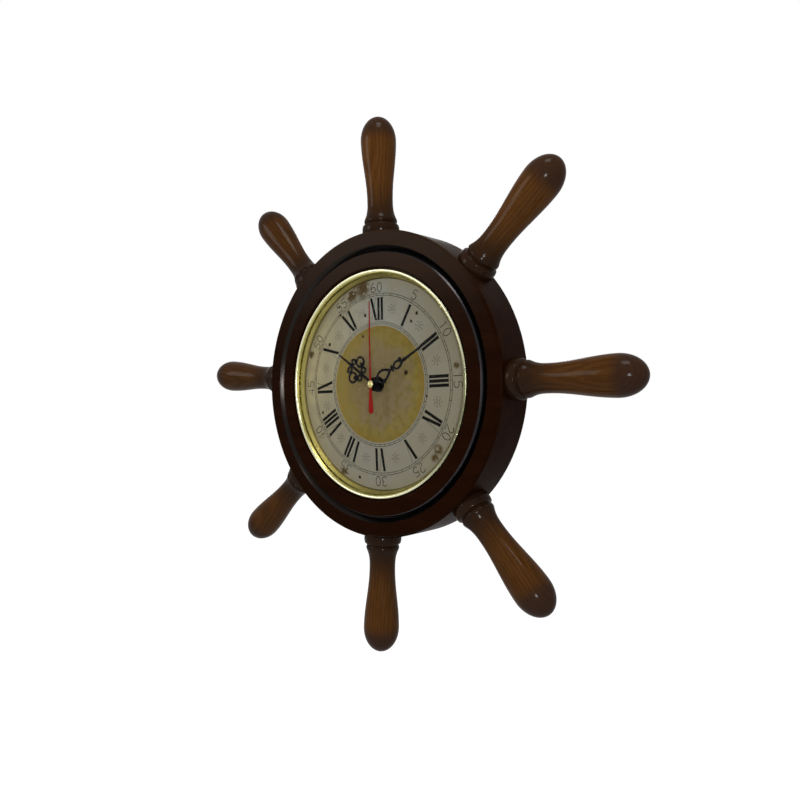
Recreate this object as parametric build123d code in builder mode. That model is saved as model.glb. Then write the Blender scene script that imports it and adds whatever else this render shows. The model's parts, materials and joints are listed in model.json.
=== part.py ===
from build123d import *
import os
from math import cos, hypot, radians, sin, sqrt

# Wall clock in the shape of a ship's wheel: a turned wooden drum with eight handles,
# a brass bezel with a domed glass, a printed dial and a battery movement with three hands.
# Millimetres. The clock axis is Y and the front faces -Y; +X is right, +Z is up.
# The origin is on the clock axis, in the plane of the wall behind the clock.

# Wooden drum
drum_radius = 125.7
drum_depth = 36.0
drum_edge_round = 2.0
border_width = 12.4
groove_width = 6.0
groove_depth = 3.6
groove_cove = 3.4
groove_hollow = 20.0
groove_roll = 7.0
inner_ring_width = 11.8
rebate_width = 2.5
rebate_depth = 2.8
rebate_edge_round = 0.8
ledge_width = 13.0

# Handles, named anticlockwise from the right as seen from the front
handle_names = ("right", "top_right", "top", "top_left", "left", "bottom_left", "bottom", "bottom_right")
drilling_errors = (3.0, 1.0, 4.0, 0.0, -1.0, -3.0, 0.5, 0.0)
collar_radius = 15.7
collar_length = 8.6
collar_foot = 0.9
collar_shoulder = 0.7
quirk_radius = 12.7
quirk_width = 1.9
bead_radius = 13.9
bead_length = 3.4
bead_edge = 0.4
neck_radius = 10.8
neck_run = 16.6
neck_lean = 0.5
grip_radius = 14.9
grip_run = 49.7
end_run = 20.3
tenon_radius = 8.0
tenon_length = 18.0
seat_depth = 1.2
wood_clearance = 0.1

# Bezel, glass and sight ring
bezel_gap = 1.3
bezel_rim_height = 2.0
bezel_rim_width = 2.6
bezel_rim_foot = 0.7
bezel_rim_back = 1.0
bezel_quirk = 0.25
lip_reach = 0.8
lip_thickness = 0.4
bezel_clearance = 0.2
skirt_wall = 1.6
skirt_reach = 0.25
glass_thickness = 2.0
glass_rise = 14.7
glass_overlap = 0.5
glass_clearance = 0.9
sight_slope = 2.9

# Dial
face_thickness = 0.5
board_thickness = 3.0
dial_clearance = 0.3
screw_count = 4
screw_inset = 4.2
screw_head_radius = 2.1
screw_head_height = 1.3
screw_shank_radius = 1.25
screw_length = 12.0
screw_slot = 0.6
screw_clearance = 0.1

# Keyhole hanger at the back of the drum
hanger_inset = 22.7
hanger_width = 18.0
hanger_length = 34.0
hanger_thickness = 1.5
hanger_corner = 4.0
keyhole_radius = 4.5
keyhole_slot = 4.4
keyhole_travel = 11.0
pocket_floor = 1.9
pocket_margin = 1.6
hanger_screw_inset = 3.6
hanger_screw_head = 2.3
hanger_screw_head_height = 0.8
hanger_slot_depth = 0.4

# Movement case
gasket_thickness = 0.7
gasket_radius = 14.0
case_corner = 4.0
case_wall = 1.6
bay_floor = 1.2
bay_clearance = 0.35
divider_wall = 1.0
inner_corner = 1.0
cover_thickness = 1.6
cover_clearance = 0.3
cover_room = 2.0
post_radius = 2.2
post_root = 0.8
pivot_depth = 1.0
end_shake = 0.175

# Threaded bush and its nut
bush_wall = 0.94
bush_stub = 2.7
bush_clearance = 0.02
nut_flats = 10.0
nut_thickness = 2.5
washer_radius = 6.5
washer_thickness = 0.5

# Concentric arbors: seconds arbor inside the minute pipe inside the hour pipe inside the bush
running_fit = 0.06
seconds_arbor_radius = 0.5
minute_pipe_wall = 1.04
hour_pipe_wall = 0.84
arbor_radius = 0.7
sleeve_radius = 1.4
pivot_radius = 0.4
hand_step = 2.0
hand_thickness = 0.5
pipe_stub = 0.3

# Gears: tooth counts, modules and the directions of the axes, anticlockwise from +X
rotor_pinion_teeth = 10
intermediate_teeth = 60
intermediate_pinion_teeth = 12
seconds_teeth = 60
seconds_pinion_teeth = 8
third_teeth = 60
third_pinion_teeth = 8
centre_teeth = 64
cannon_teeth = 12
minute_wheel_teeth = 36
minute_pinion_teeth = 10
hour_teeth = 40
knob_pinion_teeth = 12
motor_module = 0.25
going_module = 0.3
hour_module = 0.4
third_direction = 165.0
intermediate_direction = 75.0
rotor_direction = 30.0
minute_wheel_direction = 10.0
knob_direction = 20.0
wheel_thickness = 0.9
level_gap = 0.7
train_headroom = 0.5
wheel_clearance = 0.36
tooth_addendum = 0.8
tooth_dedendum = 1.15
tooth_tip_share = 0.25
tooth_root_share = 0.55

# Stepping motor
magnet_radius = 3.2
magnet_thickness = 3.0
stator_gap = 0.5
stator_thickness = 1.2
stator_arm = 2.4
stator_margin = 0.6
stator_clearance = 0.35
stator_rim = 1.4
stator_post_radius = 0.9
core_gap = 2.6
coil_gap = 0.15
coil_length = 19.0
coil_headroom = 0.9
coil_end_gap = 0.6
bobbin_wall = 0.5
core_clearance = 0.1

# Electronics and battery
board_height = 20.0
board_clearance = 1.77
circuit_thickness = 0.8
circuit_margin = 0.5
circuit_lift = 1.8
board_post_offset = 6.5
board_post_radius = 1.1
chip_radius = 3.0
chip_height = 0.6
chip_taper = 30.0
crystal_radius = 1.0
crystal_length = 6.0
battery_radius = 7.25
battery_length = 49.5
nub_radius = 2.75
nub_length = 1.0
battery_clearance = 0.2
contact_thickness = 0.4
contact_width = 11.0
contact_reach = 0.85
contact_gap = 0.3
leaf_width = 5.5

# Setting knob
knob_radius = 5.0
knob_height = 3.2
knob_gap = 0.4
knob_ridges = 24
knob_shaft_radius = 1.25

# Hands: angles clockwise from twelve as seen from the front
hour_angle = 301.0
minute_angle = 58.5
seconds_angle = 356.5
hour_point = 14.8
minute_margin = 13.0
seconds_margin = 19.0
seconds_tail = 24.0
hour_hub_radius = 5.65
minute_hub_radius = 4.8
seconds_hub_radius = 2.6
hour_stem = 2.2
minute_stem = 2.4
hand_point = 1.0
eye_wall = 1.8
hour_eyes = ((3.9, 15.6, 3.1), (7.6, 22.4, 5.0), (3.8, 28.8, 2.9))
hour_balls = ((6.6, 20.3, 1.7),)
minute_loops = ((6.0, 13.5, 24.0, 5.3), (26.0, 31.0, 38.5, 3.7))
minute_balls = ((4.6, 12.8, 1.9), (-2.7, 35.2, 1.6))
minute_knots = ((6.2, 1.9), (25.0, 1.7), (39.0, 1.5))
knot_bar = 5.4
needle_width = 1.7
needle_point = 0.8
tail_width = 5.0
tube_radius = 1.2
tube_gap = 0.3
cap_radius = 3.1
cap_height = 2.1
cap_edge = 0.4

# Radii worked out from the rim of the drum inwards
groove_radius = drum_radius - border_width
cove_radius = groove_radius - groove_width
rebate_radius = cove_radius - inner_ring_width
bore_radius = rebate_radius - rebate_width
cavity_radius = bore_radius - ledge_width
flange_radius = rebate_radius - bezel_gap
skirt_radius = bore_radius - bezel_clearance
pocket_radius = skirt_radius - skirt_wall
lip_radius = pocket_radius - lip_reach
glass_radius = pocket_radius - bezel_clearance
dome_radius = lip_radius - glass_overlap
hollow_radius = dome_radius - glass_thickness
sight_foot_radius = dome_radius - sight_slope
screw_circle = bore_radius - screw_inset
minute_length = sight_foot_radius - minute_margin
seconds_length = sight_foot_radius - seconds_margin
minute_pipe_radius = seconds_arbor_radius + running_fit + minute_pipe_wall
hour_pipe_radius = minute_pipe_radius + running_fit + hour_pipe_wall
bush_radius = hour_pipe_radius + running_fit + bush_wall


def cap_sphere(radius, rise):
    """Radius of the sphere whose cap has this rim radius and this rise."""
    return (radius**2 + rise**2) / (2 * rise)


# Depths worked out from the front of the drum towards the wall
hand_stack = washer_thickness + nut_thickness + bush_stub + pipe_stub + 2 * hand_step + hand_thickness
hollow_sphere = cap_sphere(hollow_radius, glass_rise)
rise_at_hand = glass_rise - hollow_sphere + sqrt(hollow_sphere**2 - seconds_length**2)
sight_height = hand_stack + glass_clearance - rise_at_hand
front_y = -drum_depth
rebate_y = front_y + rebate_depth
glass_front_y = rebate_y + lip_thickness
glass_back_y = glass_front_y + glass_thickness
dial_y = glass_back_y + sight_height
board_front_y = dial_y + face_thickness
ledge_y = board_front_y + board_thickness
case_front_y = ledge_y + gasket_thickness
train_front_y = case_front_y + case_wall


def level_y(number):
    """Back face of a gear level, counted from the front wall of the movement."""
    return train_front_y + train_headroom + wheel_thickness + number * (wheel_thickness + level_gap)


hour_level = level_y(0)
motion_level = level_y(1)
centre_level = level_y(2)
third_level = level_y(3)
seconds_level = level_y(4)
rotor_level = level_y(5)
cover_front_y = rotor_level + cover_room
case_back_y = cover_front_y + cover_thickness
washer_front_y = dial_y - washer_thickness
bush_front_y = washer_front_y - nut_thickness - bush_stub
hour_hand_y = bush_front_y - pipe_stub
minute_hand_y = hour_hand_y - hand_step
seconds_hand_y = minute_hand_y - hand_step


def front_plane(y, centre=(0, 0), turn=0.0):
    """Plane across the clock axis, seen from the front; turn is clockwise, and a lift goes to the front."""
    across = (cos(radians(turn)), 0, -sin(radians(turn)))
    return Plane(origin=(centre[0], y, centre[1]), x_dir=across, z_dir=(0, -1, 0))


def disc(y, centre, radius):
    """Round face across the clock axis."""
    with BuildSketch(front_plane(y, centre)) as outline:
        Circle(radius)
    return outline.sketch


def tooth_points(teeth, module, phase, addendum=tooth_addendum, dedendum=tooth_dedendum):
    """Corners of a gear: each tooth is a trapezium from its root circle to its tip circle."""
    pitch_radius = teeth * module / 2
    tip_radius = pitch_radius + addendum * module
    root_radius = pitch_radius - dedendum * module
    pitch_angle = 360 / teeth
    corners = []
    for tooth in range(teeth):
        middle = phase + tooth * pitch_angle
        for radius, share in (
            (root_radius, -tooth_root_share),
            (tip_radius, -tooth_tip_share),
            (tip_radius, tooth_tip_share),
            (root_radius, tooth_root_share),
        ):
            angle = radians(middle + share * pitch_angle / 2)
            corners.append((radius * cos(angle), radius * sin(angle)))
    return corners


def gear(y, centre, teeth, module, phase):
    """Toothed face across the clock axis, with a tooth at the angle phase."""
    with BuildSketch(front_plane(y, centre)) as outline:
        with BuildLine():
            Polyline(*tooth_points(teeth, module, phase), close=True)
        make_face()
    return outline.sketch


def meshing_phase(direction, teeth, mate_teeth, mate_phase):
    """Phase of a gear that lies at an angle from its mate, so that their teeth interleave."""
    return direction + 180 + 180 / teeth - (mate_phase - direction) * mate_teeth / teeth


def step_from(centre, distance, direction):
    """Point at a distance and direction from another axis."""
    angle = radians(direction)
    return (centre[0] + distance * cos(angle), centre[1] + distance * sin(angle))


# Axes of the train, in the plane across the clock axis
clock_axis = (0.0, 0.0)
going_distance = going_module * (third_pinion_teeth + centre_teeth) / 2
third_module = 2 * going_distance / (seconds_pinion_teeth + third_teeth)
motion_distance = hour_module * (minute_pinion_teeth + hour_teeth) / 2
motion_module = 2 * motion_distance / (cannon_teeth + minute_wheel_teeth)
drive_distance = going_module * (seconds_teeth + intermediate_pinion_teeth) / 2
motor_distance = motor_module * (intermediate_teeth + rotor_pinion_teeth) / 2
setting_distance = motion_module * (minute_wheel_teeth + knob_pinion_teeth) / 2
third_axis = step_from(clock_axis, going_distance, third_direction)
intermediate_axis = step_from(clock_axis, drive_distance, intermediate_direction)
rotor_axis = step_from(intermediate_axis, motor_distance, rotor_direction)
minute_axis = step_from(clock_axis, motion_distance, minute_wheel_direction)
knob_axis = step_from(minute_axis, setting_distance, knob_direction)

# Phases of the teeth, from gears that have a tooth on the line to their mate
seconds_pinion_phase = third_direction
third_phase = meshing_phase(third_direction, third_teeth, seconds_pinion_teeth, seconds_pinion_phase)
third_pinion_phase = third_direction + 180
centre_phase = meshing_phase(third_direction + 180, centre_teeth, third_pinion_teeth, third_pinion_phase)
seconds_phase = intermediate_direction
intermediate_pinion_phase = meshing_phase(
    intermediate_direction, intermediate_pinion_teeth, seconds_teeth, seconds_phase
)
intermediate_phase = rotor_direction
rotor_phase = meshing_phase(rotor_direction, rotor_pinion_teeth, intermediate_teeth, intermediate_phase)
cannon_phase = minute_wheel_direction
minute_wheel_phase = meshing_phase(minute_wheel_direction, minute_wheel_teeth, cannon_teeth, cannon_phase)
hour_phase = minute_wheel_direction
minute_pinion_phase = meshing_phase(minute_wheel_direction, minute_pinion_teeth, hour_teeth, hour_phase)
knob_phase = meshing_phase(knob_direction, knob_pinion_teeth, minute_wheel_teeth, minute_wheel_phase)

os.makedirs("parts", exist_ok=True)


def save(piece, name):
    """Label a finished piece and write it to its own file."""
    piece.part.label = name
    export_step(piece.part, f"parts/{name}.step")


# Handle directions, anticlockwise from the right
handle_pitch = 360 / len(handle_names)
handle_y = -drum_depth / 2
seat_radius = drum_radius - seat_depth
handle_angles = [index * handle_pitch + error for index, error in enumerate(drilling_errors)]


def outward(angle):
    """Unit vector from the clock axis along a handle."""
    return (cos(radians(angle)), 0, sin(radians(angle)))


def socket_plane(angle):
    """Plane of the flat seat that a handle's collar stands on."""
    way = outward(angle)
    return Plane(
        origin=(seat_radius * way[0], handle_y, seat_radius * way[2]), x_dir=(0, 1, 0), z_dir=way
    )


# Wooden drum: a turned ring, moulded in front, stepped inside and drilled for the handles
groove_y = front_y + groove_depth
hanger_height = drum_radius - hanger_inset
pocket_depth = -handle_y - tenon_radius - wood_clearance - pocket_floor
pocket_length = keyhole_travel + 2 * keyhole_radius + 2 * pocket_margin
pocket_width = 2 * keyhole_radius + 2 * pocket_margin
hanger_screws_z = (
    hanger_height - hanger_length / 2 + hanger_screw_inset,
    hanger_height + hanger_length / 2 - hanger_screw_inset,
)
with BuildPart() as case_ring:
    with BuildSketch(Plane.XY):
        with BuildLine():
            Polyline(
                (groove_radius, front_y),
                (drum_radius - drum_edge_round, front_y),
            )
            RadiusArc(
                (drum_radius - drum_edge_round, front_y),
                (drum_radius, front_y + drum_edge_round),
                -drum_edge_round,
            )
            Polyline(
                (drum_radius, front_y + drum_edge_round),
                (drum_radius, 0),
                (cavity_radius, 0),
                (cavity_radius, ledge_y),
                (bore_radius, ledge_y),
                (bore_radius, rebate_y),
                (rebate_radius, rebate_y),
                (rebate_radius, front_y + rebate_edge_round),
            )
            RadiusArc(
                (rebate_radius, front_y + rebate_edge_round),
                (rebate_radius + rebate_edge_round, front_y),
                -rebate_edge_round,
            )
            Line((rebate_radius + rebate_edge_round, front_y), (cove_radius, front_y))
            RadiusArc(
                (cove_radius, front_y),
                (groove_radius - groove_cove, groove_y),
                -groove_roll,
            )
            RadiusArc(
                (groove_radius - groove_cove, groove_y),
                (groove_radius, front_y),
                groove_hollow,
            )
        make_face()
    revolve(axis=Axis.Y)
    for angle in handle_angles:
        with BuildSketch(socket_plane(angle)):
            Circle(collar_radius + wood_clearance)
        extrude(amount=collar_length, mode=Mode.SUBTRACT)
        with BuildSketch(socket_plane(angle)):
            Circle(tenon_radius + wood_clearance)
        extrude(amount=-tenon_length - wood_clearance, mode=Mode.SUBTRACT)
    with BuildSketch(front_plane(0, (0, hanger_height))):
        RectangleRounded(
            hanger_width + 2 * wood_clearance, hanger_length + 2 * wood_clearance, hanger_corner
        )
    extrude(amount=hanger_thickness, mode=Mode.SUBTRACT)
    with BuildSketch(front_plane(0, (0, hanger_height))):
        SlotOverall(pocket_length, pocket_width, rotation=90)
    extrude(amount=pocket_depth, mode=Mode.SUBTRACT)
    with BuildSketch(front_plane(0)):
        with Locations(*[(0, z) for z in hanger_screws_z]):
            Circle(screw_shank_radius + screw_clearance)
    extrude(amount=pocket_depth + screw_clearance, mode=Mode.SUBTRACT)
    with BuildSketch(front_plane(dial_y + screw_length + screw_clearance)):
        with PolarLocations(screw_circle, screw_count, start_angle=180 / screw_count):
            Circle(screw_shank_radius + screw_clearance)
    extrude(amount=screw_length, mode=Mode.SUBTRACT)
save(case_ring, "case_ring")

# Turned handles: tenon, collar, quirk, bead, neck, swell and rounded end
quirk_start = seat_radius + collar_length
bead_start = quirk_start + quirk_width
bead_end = bead_start + bead_length
neck_at = bead_end + neck_run
grip_at = neck_at + grip_run
wheel_radius = grip_at + end_run
for name, angle in zip(handle_names, handle_angles):
    way = outward(angle)
    handle_axis = Axis((0, handle_y, 0), way)
    handle_plane = Plane(origin=(0, handle_y, 0), x_dir=(0, 1, 0), z_dir=(way[2], 0, -way[0]))
    with BuildPart() as handle:
        with BuildSketch(handle_plane):
            with BuildLine():
                Polyline(
                    (0, wheel_radius),
                    (0, seat_radius - tenon_length),
                    (tenon_radius, seat_radius - tenon_length),
                    (tenon_radius, seat_radius),
                    (collar_radius - collar_foot, seat_radius),
                )
                ThreePointArc(
                    (collar_radius - collar_foot, seat_radius),
                    (collar_radius, seat_radius + collar_length / 2),
                    (collar_radius - collar_shoulder, quirk_start),
                )
                Polyline(
                    (collar_radius - collar_shoulder, quirk_start),
                    (quirk_radius, quirk_start + quirk_width / 2),
                    (bead_radius - bead_edge, bead_start),
                )
                ThreePointArc(
                    (bead_radius - bead_edge, bead_start),
                    (bead_radius, bead_start + bead_length / 2),
                    (bead_radius - bead_edge, bead_end),
                )
                Spline(
                    (bead_radius - bead_edge, bead_end),
                    (neck_radius, neck_at),
                    (grip_radius, grip_at),
                    tangents=((-neck_lean, 1), (0, 1), (0, 1)),
                )
                Spline(
                    (grip_radius, grip_at),
                    (grip_radius * cos(radians(45)), grip_at + end_run * sin(radians(45))),
                    (0, wheel_radius),
                    tangents=((0, 1), (-1, 0)),
                )
            make_face()
        revolve(axis=handle_axis)
    save(handle, f"handle_{name}")

# Brass bezel: a rolled rim in the rebate, a sloping lip over the glass and a skirt in the bore
rim_y = rebate_y - bezel_rim_height
rim_foot_y = rebate_y - bezel_rim_foot
rim_back_y = rebate_y - bezel_rim_back
rim_inner = flange_radius - bezel_rim_width
skirt_y = glass_back_y + skirt_reach
with BuildPart() as bezel_ring:
    with BuildSketch(Plane.XY):
        with BuildLine():
            Line((flange_radius, rebate_y), (flange_radius, rim_foot_y))
            ThreePointArc(
                (flange_radius, rim_foot_y),
                (flange_radius - bezel_rim_width / 2, rim_y),
                (rim_inner, rim_back_y),
            )
            Polyline(
                (rim_inner, rim_back_y),
                (rim_inner - bezel_quirk, rim_back_y - bezel_quirk),
                (lip_radius, rebate_y),
                (lip_radius, glass_front_y),
                (pocket_radius, glass_front_y),
                (pocket_radius, skirt_y),
                (skirt_radius, skirt_y),
                (skirt_radius, rebate_y),
                (flange_radius, rebate_y),
            )
        make_face()
    revolve(axis=Axis.Y)
save(bezel_ring, "bezel_ring")

# Domed glass with a flat rim that the bezel's lip holds down
with BuildPart() as glass_lens:
    with BuildSketch(Plane.XY):
        with BuildLine():
            RadiusArc(
                (dome_radius, glass_front_y),
                (0, glass_front_y - glass_rise),
                cap_sphere(dome_radius, glass_rise),
            )
            RadiusArc((hollow_radius, glass_back_y), (0, glass_back_y - glass_rise), hollow_sphere)
            Line((0, glass_front_y - glass_rise), (0, glass_back_y - glass_rise))
            Polyline(
                (dome_radius, glass_front_y),
                (glass_radius, glass_front_y),
                (glass_radius, glass_back_y),
                (hollow_radius, glass_back_y),
            )
        make_face()
    revolve(axis=Axis.Y)
save(glass_lens, "glass_lens")

# Gilt sight ring between the glass and the dial
with BuildPart() as sight_ring:
    with BuildSketch(Plane.XY):
        with BuildLine():
            Polyline(
                (dome_radius, glass_back_y),
                (glass_radius, glass_back_y),
                (glass_radius, dial_y),
                (sight_foot_radius, dial_y),
                close=True,
            )
        make_face()
    revolve(axis=Axis.Y)
save(sight_ring, "sight_ring")

# Printed dial face and the board behind it, screwed to the ledge under the sight ring
dial_radius = bore_radius - dial_clearance
screw_hole = screw_head_radius + screw_clearance
with BuildPart() as dial_face:
    with BuildSketch(front_plane(board_front_y)):
        Circle(dial_radius)
        Circle(bush_radius + screw_clearance, mode=Mode.SUBTRACT)
        with PolarLocations(screw_circle, screw_count, start_angle=180 / screw_count):
            Circle(screw_hole, mode=Mode.SUBTRACT)
    extrude(amount=face_thickness)
save(dial_face, "dial_face")

head_back_y = dial_y + screw_head_height
with BuildPart() as dial_board:
    with BuildSketch(front_plane(ledge_y)):
        Circle(dial_radius)
        Circle(bush_radius + screw_clearance, mode=Mode.SUBTRACT)
        with PolarLocations(screw_circle, screw_count, start_angle=180 / screw_count):
            Circle(screw_shank_radius + screw_clearance, mode=Mode.SUBTRACT)
    extrude(amount=board_thickness)
    with BuildSketch(front_plane(head_back_y)):
        with PolarLocations(screw_circle, screw_count, start_angle=180 / screw_count):
            Circle(screw_hole)
    extrude(amount=screw_head_height, mode=Mode.SUBTRACT)
save(dial_board, "dial_board")

with BuildPart() as dial_screws:
    with BuildSketch(front_plane(dial_y + screw_length)):
        with PolarLocations(screw_circle, screw_count, start_angle=180 / screw_count):
            Circle(screw_shank_radius)
    extrude(amount=screw_length)
    with BuildSketch(front_plane(head_back_y)):
        with PolarLocations(screw_circle, screw_count, start_angle=180 / screw_count):
            Circle(screw_head_radius)
    extrude(amount=screw_head_height)
    with BuildSketch(front_plane(dial_y + screw_slot)):
        with PolarLocations(screw_circle, screw_count, start_angle=180 / screw_count):
            Rectangle(2 * screw_hole, screw_slot)
    extrude(amount=screw_slot, mode=Mode.SUBTRACT)
save(dial_screws, "dial_screws")

# Keyhole hanger plate, let into the back of the drum above the movement, and its two screws
with BuildPart() as hanger_plate:
    with BuildSketch(front_plane(0, (0, hanger_height))):
        RectangleRounded(hanger_width, hanger_length, hanger_corner)
        with Locations((0, -keyhole_travel / 2)):
            Circle(keyhole_radius, mode=Mode.SUBTRACT)
        SlotCenterToCenter(keyhole_travel, keyhole_slot, rotation=90, mode=Mode.SUBTRACT)
        with Locations(*[(0, z - hanger_height) for z in hanger_screws_z]):
            Circle(screw_shank_radius + screw_clearance, mode=Mode.SUBTRACT)
    extrude(amount=hanger_thickness)
    with BuildSketch(front_plane(0)):
        with Locations(*[(0, z) for z in hanger_screws_z]):
            Circle(hanger_screw_head + screw_clearance)
    extrude(amount=hanger_screw_head_height, mode=Mode.SUBTRACT)
save(hanger_plate, "hanger_plate")

with BuildPart() as hanger_screws:
    with BuildSketch(front_plane(0)):
        with Locations(*[(0, z) for z in hanger_screws_z]):
            Circle(screw_shank_radius)
    extrude(amount=pocket_depth)
    with BuildSketch(front_plane(0)):
        with Locations(*[(0, z) for z in hanger_screws_z]):
            Circle(hanger_screw_head)
    extrude(amount=hanger_screw_head_height)
    with BuildSketch(front_plane(0)):
        with Locations(*[(0, z) for z in hanger_screws_z]):
            Rectangle(2 * (hanger_screw_head + screw_clearance), screw_slot)
    extrude(amount=hanger_slot_depth, mode=Mode.SUBTRACT)
save(hanger_screws, "hanger_screws")

# Movement case: front shell with the train's bearings, the battery bay and posts for the cover
centre_tip = going_module * (centre_teeth / 2 + tooth_addendum)
third_tip = third_module * (third_teeth / 2 + tooth_addendum)
train_bottom = min(-centre_tip, third_axis[1] - third_tip) - wheel_clearance
bay_top = train_bottom - divider_wall
bay_width = 2 * (battery_radius + bay_clearance)
bay_bottom = bay_top - bay_width
block_half = magnet_radius + stator_gap + stator_rim
block_corner = block_half - stator_post_radius
core_z = rotor_axis[1] + block_half + core_gap
stator_back_y = third_level - wheel_thickness - stator_clearance
stator_front_y = stator_back_y - stator_thickness
coil_y = stator_front_y - stator_thickness / 2
coil_radius = coil_y - train_front_y - coil_gap
inner_top = core_z + coil_radius + coil_headroom
inner_half = (battery_length + nub_length) / 2 + contact_gap + contact_reach
case_width = 2 * (inner_half + case_wall)
case_height = inner_top - bay_bottom + 2 * case_wall
case_depth = case_back_y - case_front_y
train_height = inner_top - train_bottom
train_middle = (inner_top + train_bottom) / 2
post_x = inner_half - post_radius
post_z = (train_bottom + post_radius, inner_top - post_radius)
pivot_axes = (third_axis, intermediate_axis, rotor_axis, knob_axis)
arm_low = rotor_axis[1] - stator_arm / 2
arm_left = -inner_half + 2 * post_radius + stator_margin
stator_posts = (
    (arm_left + 2 * stator_arm, arm_low),
    (rotor_axis[0] + block_corner, rotor_axis[1] + block_corner),
)
with BuildPart() as movement_housing:
    with BuildSketch(front_plane(case_back_y, (0, (inner_top + bay_bottom) / 2))):
        RectangleRounded(case_width, case_height, case_corner)
    extrude(amount=case_depth)
    with BuildSketch(front_plane(case_back_y, (0, train_middle))):
        RectangleRounded(2 * inner_half, train_height, inner_corner)
    extrude(amount=case_back_y - train_front_y, mode=Mode.SUBTRACT)
    with BuildSketch(front_plane(case_back_y, (0, (bay_bottom + bay_top) / 2))):
        RectangleRounded(2 * inner_half, bay_width, inner_corner)
    extrude(amount=case_depth - bay_floor, mode=Mode.SUBTRACT)
    with BuildSketch(front_plane(cover_front_y)):
        with Locations(*[(x, z) for x in (-post_x, post_x) for z in post_z]):
            Circle(post_radius)
    extrude(amount=cover_front_y - train_front_y + post_root)
    with BuildSketch(front_plane(stator_front_y)):
        with Locations(*stator_posts):
            Circle(stator_post_radius)
    extrude(amount=stator_front_y - train_front_y + post_root)
    extrude(
        disc(motion_level, minute_axis, arbor_radius),
        amount=motion_level - train_front_y + post_root,
    )
    with BuildSketch(front_plane(train_front_y)):
        Circle(bush_radius + bush_clearance)
    extrude(amount=case_wall, mode=Mode.SUBTRACT)
    with BuildSketch(front_plane(train_front_y)):
        with Locations(*pivot_axes):
            Circle(pivot_radius + running_fit)
    extrude(amount=pivot_depth, mode=Mode.SUBTRACT)
save(movement_housing, "movement_housing")

board_left = -inner_half + circuit_margin
board_right = third_axis[0] - arbor_radius - board_clearance
board_width = board_right - board_left
circuit_x = (board_left + board_right) / 2
circuit_z = train_bottom + 2 * post_radius + circuit_lift + board_height / 2
circuit_back_y = rotor_level - wheel_thickness
with BuildPart() as movement_cover:
    with BuildSketch(front_plane(case_back_y, (0, train_middle))):
        RectangleRounded(
            2 * inner_half - 2 * cover_clearance, train_height - 2 * cover_clearance, inner_corner
        )
    extrude(amount=cover_thickness)
    with BuildSketch(front_plane(cover_front_y + pivot_depth)):
        with Locations(clock_axis, third_axis, intermediate_axis, rotor_axis):
            Circle(pivot_radius + running_fit)
    extrude(amount=pivot_depth, mode=Mode.SUBTRACT)
    with BuildSketch(front_plane(case_back_y)):
        with Locations(knob_axis):
            Circle(knob_shaft_radius + running_fit)
    extrude(amount=cover_thickness, mode=Mode.SUBTRACT)
    with BuildSketch(front_plane(cover_front_y)):
        with Locations(*[(circuit_x, circuit_z + side * board_post_offset) for side in (-1, 1)]):
            Circle(board_post_radius)
    extrude(amount=cover_front_y - circuit_back_y)
save(movement_cover, "movement_cover")

# Centre fixing: threaded bush through the dial, with gasket, washer and nut
with BuildPart() as threaded_bush:
    with BuildSketch(front_plane(train_front_y)):
        Circle(bush_radius)
        Circle(hour_pipe_radius + running_fit, mode=Mode.SUBTRACT)
    extrude(amount=train_front_y - bush_front_y)
save(threaded_bush, "threaded_bush")

with BuildPart() as rubber_gasket:
    with BuildSketch(front_plane(case_front_y)):
        Circle(gasket_radius)
        Circle(bush_radius + screw_clearance, mode=Mode.SUBTRACT)
    extrude(amount=gasket_thickness)
save(rubber_gasket, "rubber_gasket")

with BuildPart() as bush_washer:
    with BuildSketch(front_plane(dial_y)):
        Circle(washer_radius)
        Circle(bush_radius + screw_clearance, mode=Mode.SUBTRACT)
    extrude(amount=washer_thickness)
save(bush_washer, "bush_washer")

with BuildPart() as bush_nut:
    with BuildSketch(front_plane(washer_front_y)):
        RegularPolygon(nut_flats / 2, 6, major_radius=False)
        Circle(bush_radius + bush_clearance, mode=Mode.SUBTRACT)
    extrude(amount=nut_thickness)
save(bush_nut, "bush_nut")

# Hour wheel on its pipe
with BuildPart() as hour_wheel:
    extrude(gear(hour_level, clock_axis, hour_teeth, hour_module, hour_phase), amount=wheel_thickness)
    extrude(disc(hour_level, clock_axis, hour_pipe_radius), amount=hour_level - hour_hand_y + hand_thickness)
    extrude(
        disc(hour_level, clock_axis, minute_pipe_radius + running_fit),
        amount=hour_level - hour_hand_y + hand_thickness,
        mode=Mode.SUBTRACT,
    )
save(hour_wheel, "hour_wheel")

# Centre wheel with the cannon pinion and the minute pipe
minute_pipe_length = centre_level - minute_hand_y + hand_thickness
with BuildPart() as centre_wheel:
    extrude(gear(centre_level, clock_axis, centre_teeth, going_module, centre_phase), amount=wheel_thickness)
    extrude(disc(centre_level, clock_axis, minute_pipe_radius), amount=minute_pipe_length)
    extrude(gear(motion_level, clock_axis, cannon_teeth, motion_module, cannon_phase), amount=wheel_thickness)
    extrude(
        disc(centre_level, clock_axis, seconds_arbor_radius + running_fit),
        amount=minute_pipe_length,
        mode=Mode.SUBTRACT,
    )
save(centre_wheel, "centre_wheel")

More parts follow.
